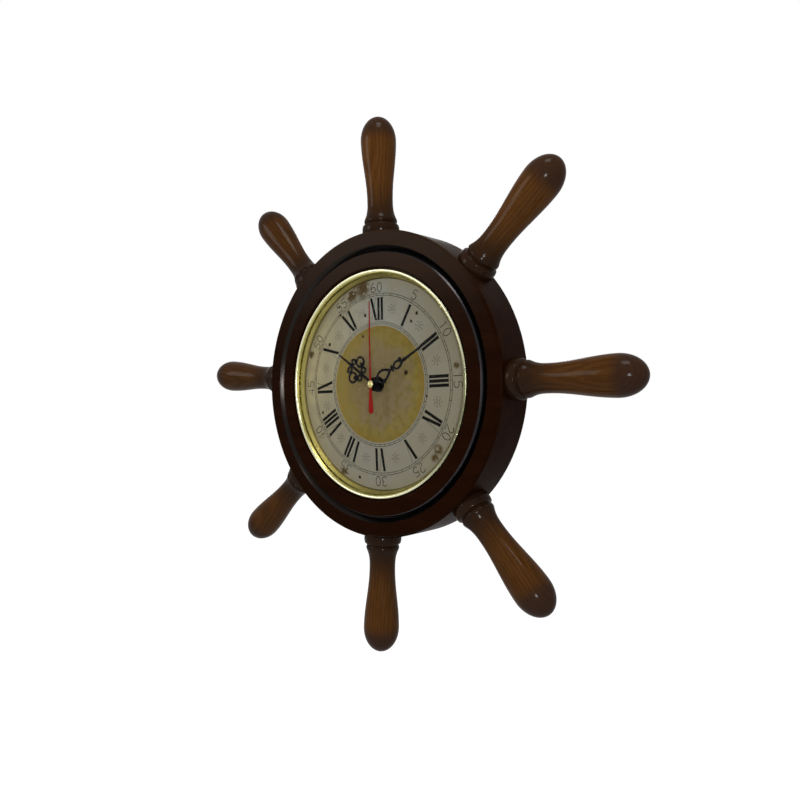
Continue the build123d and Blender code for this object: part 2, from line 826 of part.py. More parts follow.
# Seconds wheel, its pinion and the long arbor that carries the seconds hand
back_pivot_y = cover_front_y + pivot_depth - end_shake
shoulder_y = cover_front_y - end_shake
front_pivot_y = train_front_y - pivot_depth + end_shake
front_shoulder_y = train_front_y + end_shake
with BuildPart() as seconds_wheel:
    extrude(
        disc(shoulder_y, clock_axis, seconds_arbor_radius),
        amount=shoulder_y - seconds_hand_y + hand_thickness,
    )
    extrude(disc(back_pivot_y, clock_axis, pivot_radius), amount=back_pivot_y - shoulder_y)
    extrude(
        gear(third_level, clock_axis, seconds_pinion_teeth, third_module, seconds_pinion_phase),
        amount=wheel_thickness,
    )
    extrude(gear(seconds_level, clock_axis, seconds_teeth, going_module, seconds_phase), amount=wheel_thickness)
save(seconds_wheel, "seconds_wheel")


def arbor(axis, radius):
    """Faces of a plain arbor with a pivot at each end, each with its length."""
    return (
        (disc(shoulder_y, axis, radius), shoulder_y - front_shoulder_y),
        (disc(back_pivot_y, axis, pivot_radius), back_pivot_y - front_pivot_y),
    )


with BuildPart() as third_wheel:
    for face, length in arbor(third_axis, arbor_radius):
        extrude(face, amount=length)
    extrude(gear(third_level, third_axis, third_teeth, third_module, third_phase), amount=wheel_thickness)
    extrude(
        gear(centre_level, third_axis, third_pinion_teeth, going_module, third_pinion_phase),
        amount=wheel_thickness,
    )
save(third_wheel, "third_wheel")

with BuildPart() as intermediate_wheel:
    for face, length in arbor(intermediate_axis, arbor_radius):
        extrude(face, amount=length)
    extrude(
        gear(seconds_level, intermediate_axis, intermediate_pinion_teeth, going_module, intermediate_pinion_phase),
        amount=wheel_thickness,
    )
    extrude(
        gear(rotor_level, intermediate_axis, intermediate_teeth, motor_module, intermediate_phase),
        amount=wheel_thickness,
    )
save(intermediate_wheel, "intermediate_wheel")

magnet_back_y = (stator_front_y + stator_back_y + magnet_thickness) / 2
with BuildPart() as rotor:
    for face, length in arbor(rotor_axis, arbor_radius):
        extrude(face, amount=length)
    extrude(disc(magnet_back_y, rotor_axis, magnet_radius), amount=magnet_thickness)
    extrude(gear(rotor_level, rotor_axis, rotor_pinion_teeth, motor_module, rotor_phase), amount=wheel_thickness)
save(rotor, "rotor")

# Minute wheel, which turns on a stud of the front shell
with BuildPart() as minute_wheel:
    extrude(
        gear(motion_level, minute_axis, minute_wheel_teeth, motion_module, minute_wheel_phase),
        amount=wheel_thickness,
    )
    extrude(
        gear(hour_level, minute_axis, minute_pinion_teeth, hour_module, minute_pinion_phase),
        amount=wheel_thickness,
    )
    extrude(disc(motion_level, minute_axis, sleeve_radius), amount=motion_level - hour_level)
    extrude(
        disc(motion_level, minute_axis, arbor_radius + running_fit),
        amount=motion_level - train_front_y,
        mode=Mode.SUBTRACT,
    )
save(minute_wheel, "minute_wheel")

# Setting knob: a ridged head behind the cover, a shaft through it and a pinion in the motion work
knob_front_y = case_back_y + knob_gap
knob_module = 2 * knob_radius / knob_ridges
with BuildPart() as setting_knob:
    extrude(gear(knob_front_y + knob_height, knob_axis, knob_ridges, knob_module, 0), amount=knob_height)
    extrude(disc(knob_front_y, knob_axis, knob_shaft_radius), amount=knob_front_y - motion_level)
    extrude(
        gear(motion_level, knob_axis, knob_pinion_teeth, motion_module, knob_phase),
        amount=wheel_thickness,
    )
    extrude(disc(motion_level, knob_axis, arbor_radius), amount=motion_level - front_shoulder_y)
    extrude(disc(motion_level, knob_axis, pivot_radius), amount=motion_level - front_pivot_y)
save(setting_knob, "setting_knob")

# Stepping motor: stator plate round the rotor, core bar, bobbin and winding
core_right = rotor_axis[0] + block_half
core_middle = (arm_left + core_right) / 2
with BuildPart() as stator:
    with BuildSketch(front_plane(stator_back_y)):
        with Locations(rotor_axis):
            Rectangle(2 * block_half, 2 * block_half)
        with Locations(((arm_left + rotor_axis[0]) / 2, arm_low)):
            Rectangle(rotor_axis[0] - arm_left, stator_arm)
        with Locations((arm_left + stator_arm / 2, (arm_low + core_z) / 2)):
            Rectangle(stator_arm, core_z - arm_low + stator_arm)
        with Locations((core_right - stator_arm / 2, (rotor_axis[1] + core_z + stator_arm / 2) / 2)):
            Rectangle(stator_arm, core_z + stator_arm / 2 - rotor_axis[1])
        with Locations(rotor_axis):
            Circle(magnet_radius + stator_gap, mode=Mode.SUBTRACT)
    extrude(amount=stator_thickness)
save(stator, "stator")

with BuildPart() as coil_core:
    with BuildSketch(front_plane(stator_front_y, (core_middle, core_z))):
        Rectangle(core_right - arm_left, stator_arm)
    extrude(amount=stator_thickness)
save(coil_core, "coil_core")

coil_left = arm_left + stator_arm + coil_end_gap
coil_plane = Plane(origin=(coil_left, coil_y, core_z), x_dir=(0, 1, 0), z_dir=(1, 0, 0))
barrel_radius = hypot(stator_arm, stator_thickness) / 2 + core_clearance + bobbin_wall
with BuildPart() as coil_bobbin:
    with BuildSketch(coil_plane):
        Circle(barrel_radius)
    extrude(amount=coil_length)
    with BuildSketch(coil_plane, coil_plane.offset(coil_length - bobbin_wall)):
        Circle(coil_radius)
    extrude(amount=bobbin_wall)
    with BuildSketch(coil_plane):
        Rectangle(stator_thickness + 2 * core_clearance, stator_arm + 2 * core_clearance)
    extrude(amount=coil_length, mode=Mode.SUBTRACT)
save(coil_bobbin, "coil_bobbin")

with BuildPart() as coil_winding:
    with BuildSketch(coil_plane.offset(bobbin_wall)):
        Circle(coil_radius - bobbin_wall / 2)
        Circle(barrel_radius, mode=Mode.SUBTRACT)
    extrude(amount=coil_length - 2 * bobbin_wall)
save(coil_winding, "coil_winding")

# Circuit board with its potted chip, carried by the cover, and the quartz crystal behind it
circuit_plane = front_plane(circuit_back_y, (circuit_x, circuit_z))
with BuildPart() as circuit_board:
    with BuildSketch(circuit_plane):
        Rectangle(board_width, board_height)
    extrude(amount=circuit_thickness)
    with BuildSketch(circuit_plane.offset(circuit_thickness)):
        Circle(chip_radius)
    extrude(amount=chip_height, taper=chip_taper)
save(circuit_board, "circuit_board")

crystal_x = board_left + 2 * crystal_radius
crystal_y = circuit_back_y + crystal_radius + core_clearance / 2
crystal_plane = Plane(origin=(crystal_x, crystal_y, circuit_z - crystal_length / 2))
with BuildPart() as quartz_crystal:
    with BuildSketch(crystal_plane):
        Circle(crystal_radius)
    extrude(amount=crystal_length)
save(quartz_crystal, "quartz_crystal")

# Battery in its open bay, and the two contacts on the bay's end walls
battery_y = case_front_y + bay_floor + battery_clearance + battery_radius
battery_z = (bay_bottom + bay_top) / 2
battery_left = -(battery_length + nub_length) / 2
battery_plane = Plane(origin=(battery_left, battery_y, battery_z), x_dir=(0, 1, 0), z_dir=(1, 0, 0))
with BuildPart() as battery:
    with BuildSketch(battery_plane):
        Circle(battery_radius)
    extrude(amount=battery_length)
    with BuildSketch(battery_plane.offset(battery_length)):
        Circle(nub_radius)
    extrude(amount=nub_length)
save(battery, "battery")

positive_plane = Plane(origin=(inner_half, battery_y, battery_z), x_dir=(0, 1, 0), z_dir=(-1, 0, 0))
with BuildPart() as contact_positive:
    with BuildSketch(positive_plane):
        Rectangle(contact_width, contact_width)
    extrude(amount=contact_thickness)
    with BuildSketch(positive_plane):
        Circle(nub_radius)
    extrude(amount=contact_reach)
save(contact_positive, "contact_positive")

negative_plane = Plane(origin=(-inner_half, battery_y, battery_z), x_dir=(0, 1, 0), z_dir=(1, 0, 0))
with BuildPart() as contact_negative:
    with BuildSketch(negative_plane):
        Rectangle(contact_width, contact_width)
    extrude(amount=contact_thickness)
    with BuildSketch(Plane.XY.offset(battery_z - leaf_width / 2)):
        with BuildLine():
            Polyline(
                (-inner_half, battery_y - contact_width / 2),
                (-inner_half + contact_reach, battery_y),
                (-inner_half, battery_y + contact_width / 2),
                close=True,
            )
        make_face()
    extrude(amount=leaf_width)
save(contact_negative, "contact_negative")

# Hour hand: hub, stem, three pairs of scrolled eyes with balls in the largest, and a pointed tip
hour_eye_edge = max(up + radius for across, up, radius in hour_eyes)
hour_length = hour_eye_edge + hour_point
with BuildPart() as hour_hand:
    with BuildSketch(front_plane(hour_hand_y, turn=hour_angle)):
        for across, up, radius in hour_eyes:
            with Locations((across, up), (-across, up)):
                Circle(radius)
        for across, up, radius in hour_eyes:
            with Locations((across, up), (-across, up)):
                Circle(radius - eye_wall, mode=Mode.SUBTRACT)
        for across, up, radius in hour_balls:
            with Locations((across, up), (-across, up)):
                Circle(radius)
        Circle(hour_hub_radius)
        with BuildLine():
            Polyline(
                (-hour_stem / 2, 0),
                (hour_stem / 2, 0),
                (hour_stem / 2, hour_eye_edge),
                (hand_point / 2, hour_length),
                (-hand_point / 2, hour_length),
                (-hour_stem / 2, hour_eye_edge),
                close=True,
            )
        make_face()
        Circle(hour_pipe_radius + bush_clearance, mode=Mode.SUBTRACT)
    extrude(amount=hand_thickness)
save(hour_hand, "hour_hand")


def leaf_outline(low, middle, high, half_width):
    """Pointed oval from low to high along a hand, widest at middle."""
    with BuildSketch() as leaf:
        with BuildLine():
            Spline((0, low), (half_width, middle), (0, high), tangents=((1, 0.3), (-0.8, 1)))
            Spline((0, high), (-half_width, middle), (0, low), tangents=((-0.8, -1), (1, -0.3)))
        make_face()
    return leaf.sketch


# Minute hand: hub, two open loops that curl to a ball, a crossed knot between them and a long point
with BuildPart() as minute_hand:
    with BuildSketch(front_plane(minute_hand_y, turn=minute_angle)):
        for low, middle, high, half_width in minute_loops:
            add(leaf_outline(low, middle, high, half_width))
        for low, middle, high, half_width in minute_loops:
            add(
                leaf_outline(low + eye_wall, middle, high - 2 * eye_wall, half_width - eye_wall),
                mode=Mode.SUBTRACT,
            )
        for across, up, radius in minute_balls:
            with Locations((across, up)):
                Circle(radius)
        Circle(minute_hub_radius)
        for up, radius in minute_knots:
            with Locations((0, up)):
                Circle(radius)
        with Locations((0, minute_knots[1][0])):
            Rectangle(knot_bar, eye_wall)
        with BuildLine():
            Polyline(
                (-minute_stem / 2, minute_loops[1][2] - eye_wall),
                (minute_stem / 2, minute_loops[1][2] - eye_wall),
                (hand_point / 2, minute_length),
                (-hand_point / 2, minute_length),
                close=True,
            )
        make_face()
        Circle(minute_pipe_radius + bush_clearance, mode=Mode.SUBTRACT)
    extrude(amount=hand_thickness)
save(minute_hand, "minute_hand")

# Seconds hand: needle, tail that widens to a round end, and a tube that grips the arbor
tube_length = hand_step - hand_thickness - tube_gap
with BuildPart() as seconds_hand:
    with BuildSketch(front_plane(seconds_hand_y, turn=seconds_angle)):
        Circle(seconds_hub_radius)
        with BuildLine():
            Polyline(
                (-needle_width / 2, 0),
                (-needle_point / 2, seconds_length),
                (needle_point / 2, seconds_length),
                (needle_width / 2, 0),
                (tail_width / 2, tail_width / 2 - seconds_tail),
                (-tail_width / 2, tail_width / 2 - seconds_tail),
                close=True,
            )
        make_face()
        with Locations((0, tail_width / 2 - seconds_tail)):
            Circle(tail_width / 2)
        Circle(seconds_arbor_radius + bush_clearance, mode=Mode.SUBTRACT)
    extrude(amount=hand_thickness)
    with BuildSketch(front_plane(seconds_hand_y + tube_length)):
        Circle(tube_radius)
        Circle(seconds_arbor_radius + bush_clearance, mode=Mode.SUBTRACT)
    extrude(amount=tube_length)
save(seconds_hand, "seconds_hand")

# Brass cap over the end of the seconds arbor
cap_back_y = seconds_hand_y - hand_thickness
cap_rise = cap_height - cap_edge
with BuildPart() as seconds_cap:
    with BuildSketch(Plane.XY):
        with BuildLine():
            RadiusArc(
                (cap_radius, cap_back_y - cap_edge),
                (0, cap_back_y - cap_height),
                cap_sphere(cap_radius, cap_rise),
            )
            Polyline(
                (0, cap_back_y - cap_height),
                (0, cap_back_y),
                (cap_radius, cap_back_y),
                (cap_radius, cap_back_y - cap_edge),
            )
        make_face()
    revolve(axis=Axis.Y)
save(seconds_cap, "seconds_cap")
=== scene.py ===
"""Looks of a wall clock in the shape of a ship's wheel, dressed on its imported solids.

The drum, bezel, glass, hands and movement keep their solids and get finishes of their own.
The handles are turned again as smooth surfaces that carry their own grain, and the dial gets its print.
Metres. The clock axis is Y and the front faces -Y; X is right and Z is up.
"""

import json
import math

import bpy
import numpy as np
from mathutils import Matrix, Vector


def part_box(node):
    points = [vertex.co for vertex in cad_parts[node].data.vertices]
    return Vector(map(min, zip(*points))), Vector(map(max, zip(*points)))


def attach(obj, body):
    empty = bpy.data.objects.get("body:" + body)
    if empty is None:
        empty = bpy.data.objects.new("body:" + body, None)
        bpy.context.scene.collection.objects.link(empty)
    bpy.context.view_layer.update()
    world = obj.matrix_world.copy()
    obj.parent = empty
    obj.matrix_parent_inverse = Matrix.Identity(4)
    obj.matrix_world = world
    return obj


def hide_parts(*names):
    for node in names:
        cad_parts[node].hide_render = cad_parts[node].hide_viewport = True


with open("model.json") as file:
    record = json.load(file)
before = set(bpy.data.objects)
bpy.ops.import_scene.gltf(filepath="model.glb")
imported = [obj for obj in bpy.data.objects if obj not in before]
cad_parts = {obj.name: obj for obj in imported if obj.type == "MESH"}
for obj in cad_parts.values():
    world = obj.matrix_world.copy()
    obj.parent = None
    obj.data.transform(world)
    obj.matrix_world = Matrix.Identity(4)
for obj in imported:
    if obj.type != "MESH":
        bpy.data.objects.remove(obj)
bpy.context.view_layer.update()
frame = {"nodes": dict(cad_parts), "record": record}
nodes = frame["nodes"]
MM = 0.001

# Camera of the photograph
CAMERA_PLACE = Vector((0.40942, -0.48532, 0.00536))
CAMERA_AIM = Vector((0.03826, -0.04411, -0.0115))
CAMERA_ROLL = math.radians(1.37)
CAMERA_LENS = 33.36
SENSOR_WIDTH = 36.0

# Drum: its front and radius, where the front turns into the duller side, and the heights between which a painted
# sheen makes it paler towards the top
FRONT_Y = -36.0 * MM
DRUM_RADIUS = 125.7 * MM
SIDE_START, SIDE_FULL = DRUM_RADIUS - 1.2 * MM, DRUM_RADIUS - 0.4 * MM
PAINTED_SHEEN_LOW, PAINTED_SHEEN_HIGH = 50.0 * MM, 118.0 * MM

# Groove in the drum's front: the radii of its roll and its outer slope, where its gloss ends, and how its edges fade
GROOVE_INNER, GROOVE_FOOT, GROOVE_OUTER = 107.3 * MM, 109.9 * MM, 113.3 * MM
GLOSS_END, GLOSS_GONE = FRONT_Y + 11.0 * MM, FRONT_Y + 12.0 * MM
MOUTH_FADE, EDGE_FADE, FOOT_FADE = 0.4 * MM, 0.2 * MM, 0.3 * MM

# Roll of the bezel, how far its olive inner band, part tarnish and part painted dark reflection, reaches and how its
# bands waver, and the painted dark reflection over its lower right side
ROLL_INNER, ROLL_OUTER = 91.6 * MM, 94.2 * MM
TARNISH_AND_REFLECTION_REACH, BAND_WAVER = 0.6 * MM, 0.15 * MM
DARK_REFLECTION_LEFT, DARK_REFLECTION_RIGHT = 42.0 * MM, 86.0 * MM
DARK_REFLECTION_LOW, DARK_REFLECTION_HIGH = 6.0 * MM, 40.0 * MM

# Foot of the gilt ring inside the bezel, with a painted brown shadow beside the dial
SIGHT_FOOT = 87.0 * MM
FOOT_SHADOW_START, FOOT_SHADOW_END = SIGHT_FOOT + 0.2 * MM, SIGHT_FOOT + 1.5 * MM

# Handles, turned along an axis that runs out from the clock axis at half the drum's depth
HANDLE_NAMES = ("right", "top_right", "top", "top_left", "left", "bottom_left", "bottom", "bottom_right")
# Degrees that each handle stands off an even spacing
DRILLING_ERRORS = (3.0, 1.0, 4.0, 0.0, -1.0, -3.0, 0.5, 0.0)
# Painted light and shade on each handle: the top and top right handles are painted lighter, the left ones darker
HANDLE_PAINTED_LIGHT = (0.94, 1.20, 1.26, 0.76, 0.72, 0.82, 0.98, 0.90)
HANDLE_Y = -18.0 * MM
SEAT = 124.5 * MM
TENON_RADIUS, TENON_LENGTH = 8.0 * MM, 18.0 * MM
COLLAR_RADIUS, COLLAR_LENGTH = 15.7 * MM, 8.6 * MM
COLLAR_FOOT, COLLAR_SHOULDER = 0.9 * MM, 0.7 * MM
QUIRK_RADIUS, QUIRK_WIDTH = 12.7 * MM, 1.9 * MM
BEAD_RADIUS, BEAD_LENGTH, BEAD_EDGE = 13.9 * MM, 3.4 * MM, 0.4 * MM
NECK_RADIUS, NECK_RUN, NECK_LEAN = 10.8 * MM, 16.6 * MM, 0.5
GRIP_RADIUS, GRIP_RUN = 14.9 * MM, 49.7 * MM
END_RUN = 20.3 * MM
END_CURVE = 1.5 * END_RUN
TURN_SEGMENTS = 80
FINE_STEP, COARSE_STEP = 0.35 * MM, 1.4 * MM
EDGE_ROUND = 3

# Places along a handle, from the clock axis outwards
TENON_FOOT = SEAT - TENON_LENGTH
QUIRK_START = SEAT + COLLAR_LENGTH
BEAD_START = QUIRK_START + QUIRK_WIDTH
BEAD_END = BEAD_START + BEAD_LENGTH
NECK_AT = BEAD_END + NECK_RUN
GRIP_END = NECK_AT + GRIP_RUN
TIP = GRIP_END + END_RUN

# Darkening of a handle: where the darker neck ends, and where the stained, darker end begins and is full
NECK_DARK_END = QUIRK_START + 40.0 * MM
END_STAIN, END_STAIN_FULL = GRIP_END - 5.0 * MM, GRIP_END + 8.0 * MM

# Grain of a handle: growth layers in radians per metre and their waver, and how far apart the handles' woods lie
LAYER_TURN, LAYER_WAVER = 2300.0, 20.0
GRAIN_SEED, GRAIN_SHIFT = 11, 0.3

# Dial print, in the plane of the dial; angles run clockwise from the top
DIAL_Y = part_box("dial_face")[0].y
INK_LIFT, INK_SINK = 0.04 * MM, 0.03 * MM
DIAL_TURN = -3.8
NUMERAL_FOOT, NUMERAL_HEIGHT = 52.9 * MM, 18.5 * MM
THICK_STROKE, HAIR_STROKE = 2.5 * MM, 0.3 * MM
SERIF_HEIGHT, SERIF_REACH = 0.28 * MM, 0.45 * MM
STROKE_PITCH = 3.6 * MM
LETTER_GAP = 2.8 * MM
V_SPREAD, X_SPREAD = 5.4 * MM, 5.2 * MM
MINUTE_RINGS = (73.2 * MM, 75.0 * MM)
HOUR_RINGS = (49.6 * MM, 51.3 * MM)
RING_LINE, TICK_LINE = 0.40 * MM, 0.40 * MM
MINUTES = 60
HOURS = 12
NUMBER_FOOT, NUMBER_HEIGHT, NUMBER_WIDTH = 76.2 * MM, 7.8 * MM, 5.2 * MM
NUMBER_LINE, NUMBER_GAP = 0.62 * MM, 1.6 * MM
FLORET_RADIUS = 62.5 * MM
FLORET_RINGS = ((1, 0.0), (5, 1.9 * MM), (7, 3.7 * MM))
DOT_RADIUS = 0.46 * MM
DOT_SEGMENTS = 12
RING_SEGMENTS = 240

# Ochre disc of the dial card: its radius, how its bands drift in and out, its ragged edge, and where painted light
# makes it paler towards the left
OCHRE_RADIUS = 48.2 * MM
OCHRE_IN, OCHRE_OUT = -7.0 * MM, 6.0 * MM
OCHRE_WOBBLE, OCHRE_EDGE, OCHRE_FULL = 1.2 * MM, 1.0 * MM, 0.2 * MM
OCHRE_PAINTED_LIGHT = -50.0 * MM

# Dial card: the height below which it is painted darker as painted shade; and its ageing: the stain round its edge,
# and how uneven its spots are
PAINTED_SHADE_FROM = 30.0 * MM
STAIN_START, STAIN_FULL = 78.0 * MM, 90.0 * MM
SPOT_NIBBLE = 1.8 * MM

# Marks of age on the dial: (clockwise angle in degrees, distance from the centre, reach)
RUST_PATCHES = ((345, 83 * MM, 12 * MM), (336, 83 * MM, 11 * MM), (128, 80 * MM, 6 * MM), (133, 82 * MM, 5 * MM),
                (206, 85 * MM, 5 * MM), (78, 80 * MM, 4 * MM), (287, 84 * MM, 5 * MM))
DARK_SPOTS = ((33, 62 * MM, 1.5 * MM), (34, 70 * MM, 1.8 * MM), (345, 60 * MM, 1.9 * MM), (301, 66 * MM, 1.9 * MM),
              (337, 44 * MM, 1.7 * MM), (70, 32 * MM, 2.4 * MM), (193, 80 * MM, 1.8 * MM), (323, 74 * MM, 1.6 * MM),
              (98, 52 * MM, 1.2 * MM), (325, 81 * MM, 1.4 * MM), (248, 68 * MM, 1.6 * MM), (288, 35 * MM, 2.0 * MM))

# Cell: half its length with and without its bare ends, and where its foil pales; and the pitch of the coil's wire
CELL_HALF, JACKET_HALF = 26.0 * MM, 23.9 * MM
FOIL_DULL, FOIL_BRIGHT = -23.8 * MM, 9.0 * MM
WIRE_PITCH = 0.12 * MM


# Node helpers

def feed(tree, socket, value):
    """Links an input to another node's output, or sets it to a plain value; a colour has three parts."""
    if isinstance(value, bpy.types.NodeSocket):
        tree.links.new(value, socket)
    elif socket.type == "RGBA":
        socket.default_value = (*value, 1.0)
    else:
        socket.default_value = value


def put(tree, kind, inputs=None, **settings):
    """Adds a node with its settings, and feeds its inputs by name or number."""
    node = tree.nodes.new(kind)
    for key, value in settings.items():
        setattr(node, key, value)
    for key, value in (inputs or {}).items():
        feed(tree, node.inputs[key], value)
    return node


def finish_of(name):
    """A new material with an empty Principled surface: (material, tree, shader)."""
    material = bpy.data.materials.new(name)
    material.use_nodes = True
    tree = material.node_tree
    tree.nodes.clear()
    shader = put(tree, "ShaderNodeBsdfPrincipled")
    put(tree, "ShaderNodeOutputMaterial", {"Surface": shader.outputs[0]})
    return material, tree, shader


def wire(tree, shader, **inputs):
    """Sets the shader's inputs; a name's underscores stand for spaces."""
    for key, value in inputs.items():
        feed(tree, shader.inputs[key.replace("_", " ")], value)


def object_place(tree):
    """Where a point lies in the clock's frame."""
    return put(tree, "ShaderNodeTexCoord").outputs["Object"]


def carried(tree, name, kind="Fac"):
    """What the piece carries at each point: a number, or a Vector."""
    return put(tree, "ShaderNodeAttribute", attribute_name=name).outputs[kind]


def coordinate(tree, place, axis):
    """The X, Y or Z of a place."""
    return put(tree, "ShaderNodeSeparateXYZ", {0: place}).outputs[axis]


def stretched(tree, place, scale):
    """The place, multiplied along each axis."""
    return put(tree, "ShaderNodeMapping", {"Vector": place, "Scale": scale}).outputs[0]


def flattened(tree, place):
    """The place carried along the clock axis onto the plane across it."""
    return stretched(tree, place, (1, 0, 1))


def length_of(tree, place):
    """How far a place is from the origin."""
    return put(tree, "ShaderNodeVectorMath", {0: place}, operation="LENGTH").outputs["Value"]


def noise(tree, place, scale, detail=4.0, roughness=0.55, distortion=0.0):
    """Cloudy noise from 0 to 1."""
    return put(tree, "ShaderNodeTexNoise", {
        "Vector": place, "Scale": scale, "Detail": detail, "Roughness": roughness, "Distortion": distortion,
    }).outputs[0]


def calc(tree, operation, first, second=0.0):
    """One step of arithmetic."""
    return put(tree, "ShaderNodeMath", {0: first, 1: second}, operation=operation).outputs[0]


def spread(tree, value, low, high, to_low=0.0, to_high=1.0, smooth=True):
    """The value carried from one range to another and held at its ends."""
    return put(tree, "ShaderNodeMapRange", {
        "Value": value, "From Min": low, "From Max": high, "To Min": to_low, "To Max": to_high,
    }, interpolation_type="SMOOTHSTEP" if smooth else "LINEAR").outputs[0]


def tinted(tree, value, *stops):
    """A colour ramp: each stop is (place, colour)."""
    node = put(tree, "ShaderNodeValToRGB", {"Fac": value})
    ramp = node.color_ramp
    while len(ramp.elements) < len(stops):
        ramp.elements.new(1.0)
    for element, (place, colour) in zip(ramp.elements, stops):
        element.position = place
        element.color = (*colour, 1.0)
    return node.outputs[0]


def blended(tree, amount, first, second):
    """The second colour laid over the first."""
    return put(tree, "ShaderNodeMix", {0: amount, 6: first, 7: second}, data_type="RGBA").outputs[2]


def bumped(tree, height, strength, distance):
    """A normal from a height."""
    return put(tree, "ShaderNodeBump", {"Height": height, "Strength": strength, "Distance": distance}).outputs[0]


def any_ray(tree, *kinds):
    """One for rays of these kinds, else nothing."""
    path = put(tree, "ShaderNodeLightPath").outputs
    found = path[kinds[0]]
    for kind in kinds[1:]:
        found = calc(tree, "MAXIMUM", found, path[kind])
    return found


# Places on the dial

def radial(across, along, angle):
    """Places (across, along) on rays of the dial at clockwise angles from the top, in degrees."""
    turn = np.radians(angle)
    return np.stack((along * np.sin(turn) + across * np.cos(turn),
                     along * np.cos(turn) - across * np.sin(turn)), -1)


# Finishes

def drum_wood():
    """Dark stained hardwood under satin lacquer: streaks across the face, fine pores, thick gloss in the groove."""
    material, tree, shader = finish_of("dark_stained_drum")
    place = object_place(tree)
    streaks = noise(tree, stretched(tree, place, (7, 95, 95)), 1.0, 6.0, 0.6, 0.4)
    pores = noise(tree, stretched(tree, place, (60, 1500, 1500)), 1.0, 3.0)
    stain = tinted(tree, streaks, (0.25, (0.0080, 0.0019, 0.0003)), (0.55, (0.0128, 0.0033, 0.0006)),
                   (0.85, (0.0190, 0.0056, 0.0013)))
    colour = blended(tree, spread(tree, pores, 0.42, 0.30), stain, (0.004, 0.0013, 0.0006))
    # Painted sheen: the drum is painted paler towards the top
    pale = spread(tree, coordinate(tree, place, "Z"), PAINTED_SHEEN_LOW, PAINTED_SHEEN_HIGH, 0.0, 0.5)
    colour = blended(tree, pale, colour, (0.042, 0.026, 0.016))
    handled = noise(tree, place, 45.0, 3.0)
    radius = length_of(tree, flattened(tree, place))
    depth = coordinate(tree, place, "Y")
    below = calc(tree, "MULTIPLY", spread(tree, depth, FRONT_Y, FRONT_Y + MOUTH_FADE),
                 spread(tree, depth, GLOSS_GONE, GLOSS_END))
    sunk = calc(tree, "MULTIPLY", below,
                calc(tree, "MULTIPLY", spread(tree, radius, GROOVE_INNER - EDGE_FADE, GROOVE_INNER),
                     spread(tree, radius, GROOVE_OUTER + EDGE_FADE, GROOVE_OUTER)))
    gloss = blended(tree, spread(tree, radius, GROOVE_FOOT - FOOT_FADE, GROOVE_FOOT + FOOT_FADE),
                    (0.026, 0.025, 0.028), (0.014, 0.012, 0.011))
    gloss = blended(tree, spread(tree, pores, 0.35, 0.65, 0.0, 0.6), gloss, (0.012, 0.009, 0.007))
    colour = blended(tree, sunk, colour, gloss)
    duller = spread(tree, radius, SIDE_START, SIDE_FULL, 0.0, 0.22)
    wire(tree, shader, Base_Color=colour, Metallic=sunk,
         Roughness=calc(tree, "ADD", spread(tree, handled, 0.3, 0.7, 0.18, 0.25), duller),
         Specular_IOR_Level=0.009, Normal=bumped(tree, pores, 0.07, 0.2 * MM))
    return material


def handle_wood():
    """Brown lacquered hardwood: growth layers and pores along the turning axis, darker at the collar and the end."""
    material, tree, shader = finish_of("brown_turned_handle")
    grain = carried(tree, "grain", "Vector")
    along = carried(tree, "reach")
    waver = noise(tree, stretched(tree, grain, (55, 55, 9)), 1.0, 3.0)
    across = coordinate(tree, grain, "X")
    layer = calc(tree, "ADD", calc(tree, "MULTIPLY", across, LAYER_TURN), calc(tree, "MULTIPLY", waver, LAYER_WAVER))
    bands = calc(tree, "SINE", layer)
    fibres = noise(tree, stretched(tree, grain, (900, 900, 22)), 1.0, 4.0)
    pores = noise(tree, stretched(tree, grain, (2300, 2300, 70)), 1.0, 2.0)
    mixed = calc(tree, "ADD", spread(tree, bands, -1.0, 1.0, 0.10, 0.32), calc(tree, "MULTIPLY", fibres, 0.74))
    colour = tinted(tree, mixed, (0.22, (0.042, 0.0135, 0.0018)), (0.48, (0.064, 0.0225, 0.0032)),
                    (0.72, (0.082, 0.0300, 0.0048)), (0.95, (0.100, 0.0400, 0.0080)))
    colour = blended(tree, spread(tree, pores, 0.38, 0.28, 0.0, 0.8), colour, (0.016, 0.0050, 0.0013))
    # Painted light and shade: the colour is scaled lighter or darker for each handle
    colour = put(tree, "ShaderNodeVectorMath", {0: colour, "Scale": carried(tree, "painted_light")},
                 operation="SCALE").outputs[0]
    # The neck is darker towards the bead
    neck = spread(tree, along, BEAD_START, NECK_DARK_END, 0.92, 0.0)
    colour = blended(tree, neck, colour, (0.016, 0.0068, 0.0032))
    end = spread(tree, along, END_STAIN, END_STAIN_FULL, 0.0, 0.72)
    colour = blended(tree, end, colour, (0.021, 0.0105, 0.0080))
    handled = noise(tree, grain, 60.0, 3.0)
    wire(tree, shader, Base_Color=colour, Roughness=spread(tree, handled, 0.3, 0.7, 0.24, 0.36),
         Specular_IOR_Level=0.008, Coat_Weight=0.085, Coat_Roughness=0.10,
         Normal=bumped(tree, pores, 0.03, 0.2 * MM))
    return material


def polished_metal(name, pale, deep, roughness, scale, brushed=(900, 900, 900)):
    """Metal with faint clouding; brushed is the stretch of its fine lines."""
    material, tree, shader = finish_of(name)
    place = object_place(tree)
    cloud = noise(tree, place, scale, 4.0)
    lines = noise(tree, stretched(tree, place, brushed), 1.0, 3.0)
    wire(tree, shader, Base_Color=tinted(tree, cloud, (0.3, deep), (0.7, pale)), Metallic=1.0,
         Roughness=spread(tree, lines, 0.3, 0.7, roughness * 0.75, roughness * 1.3),
         Normal=bumped(tree, lines, 0.04, 0.05 * MM))
    return material


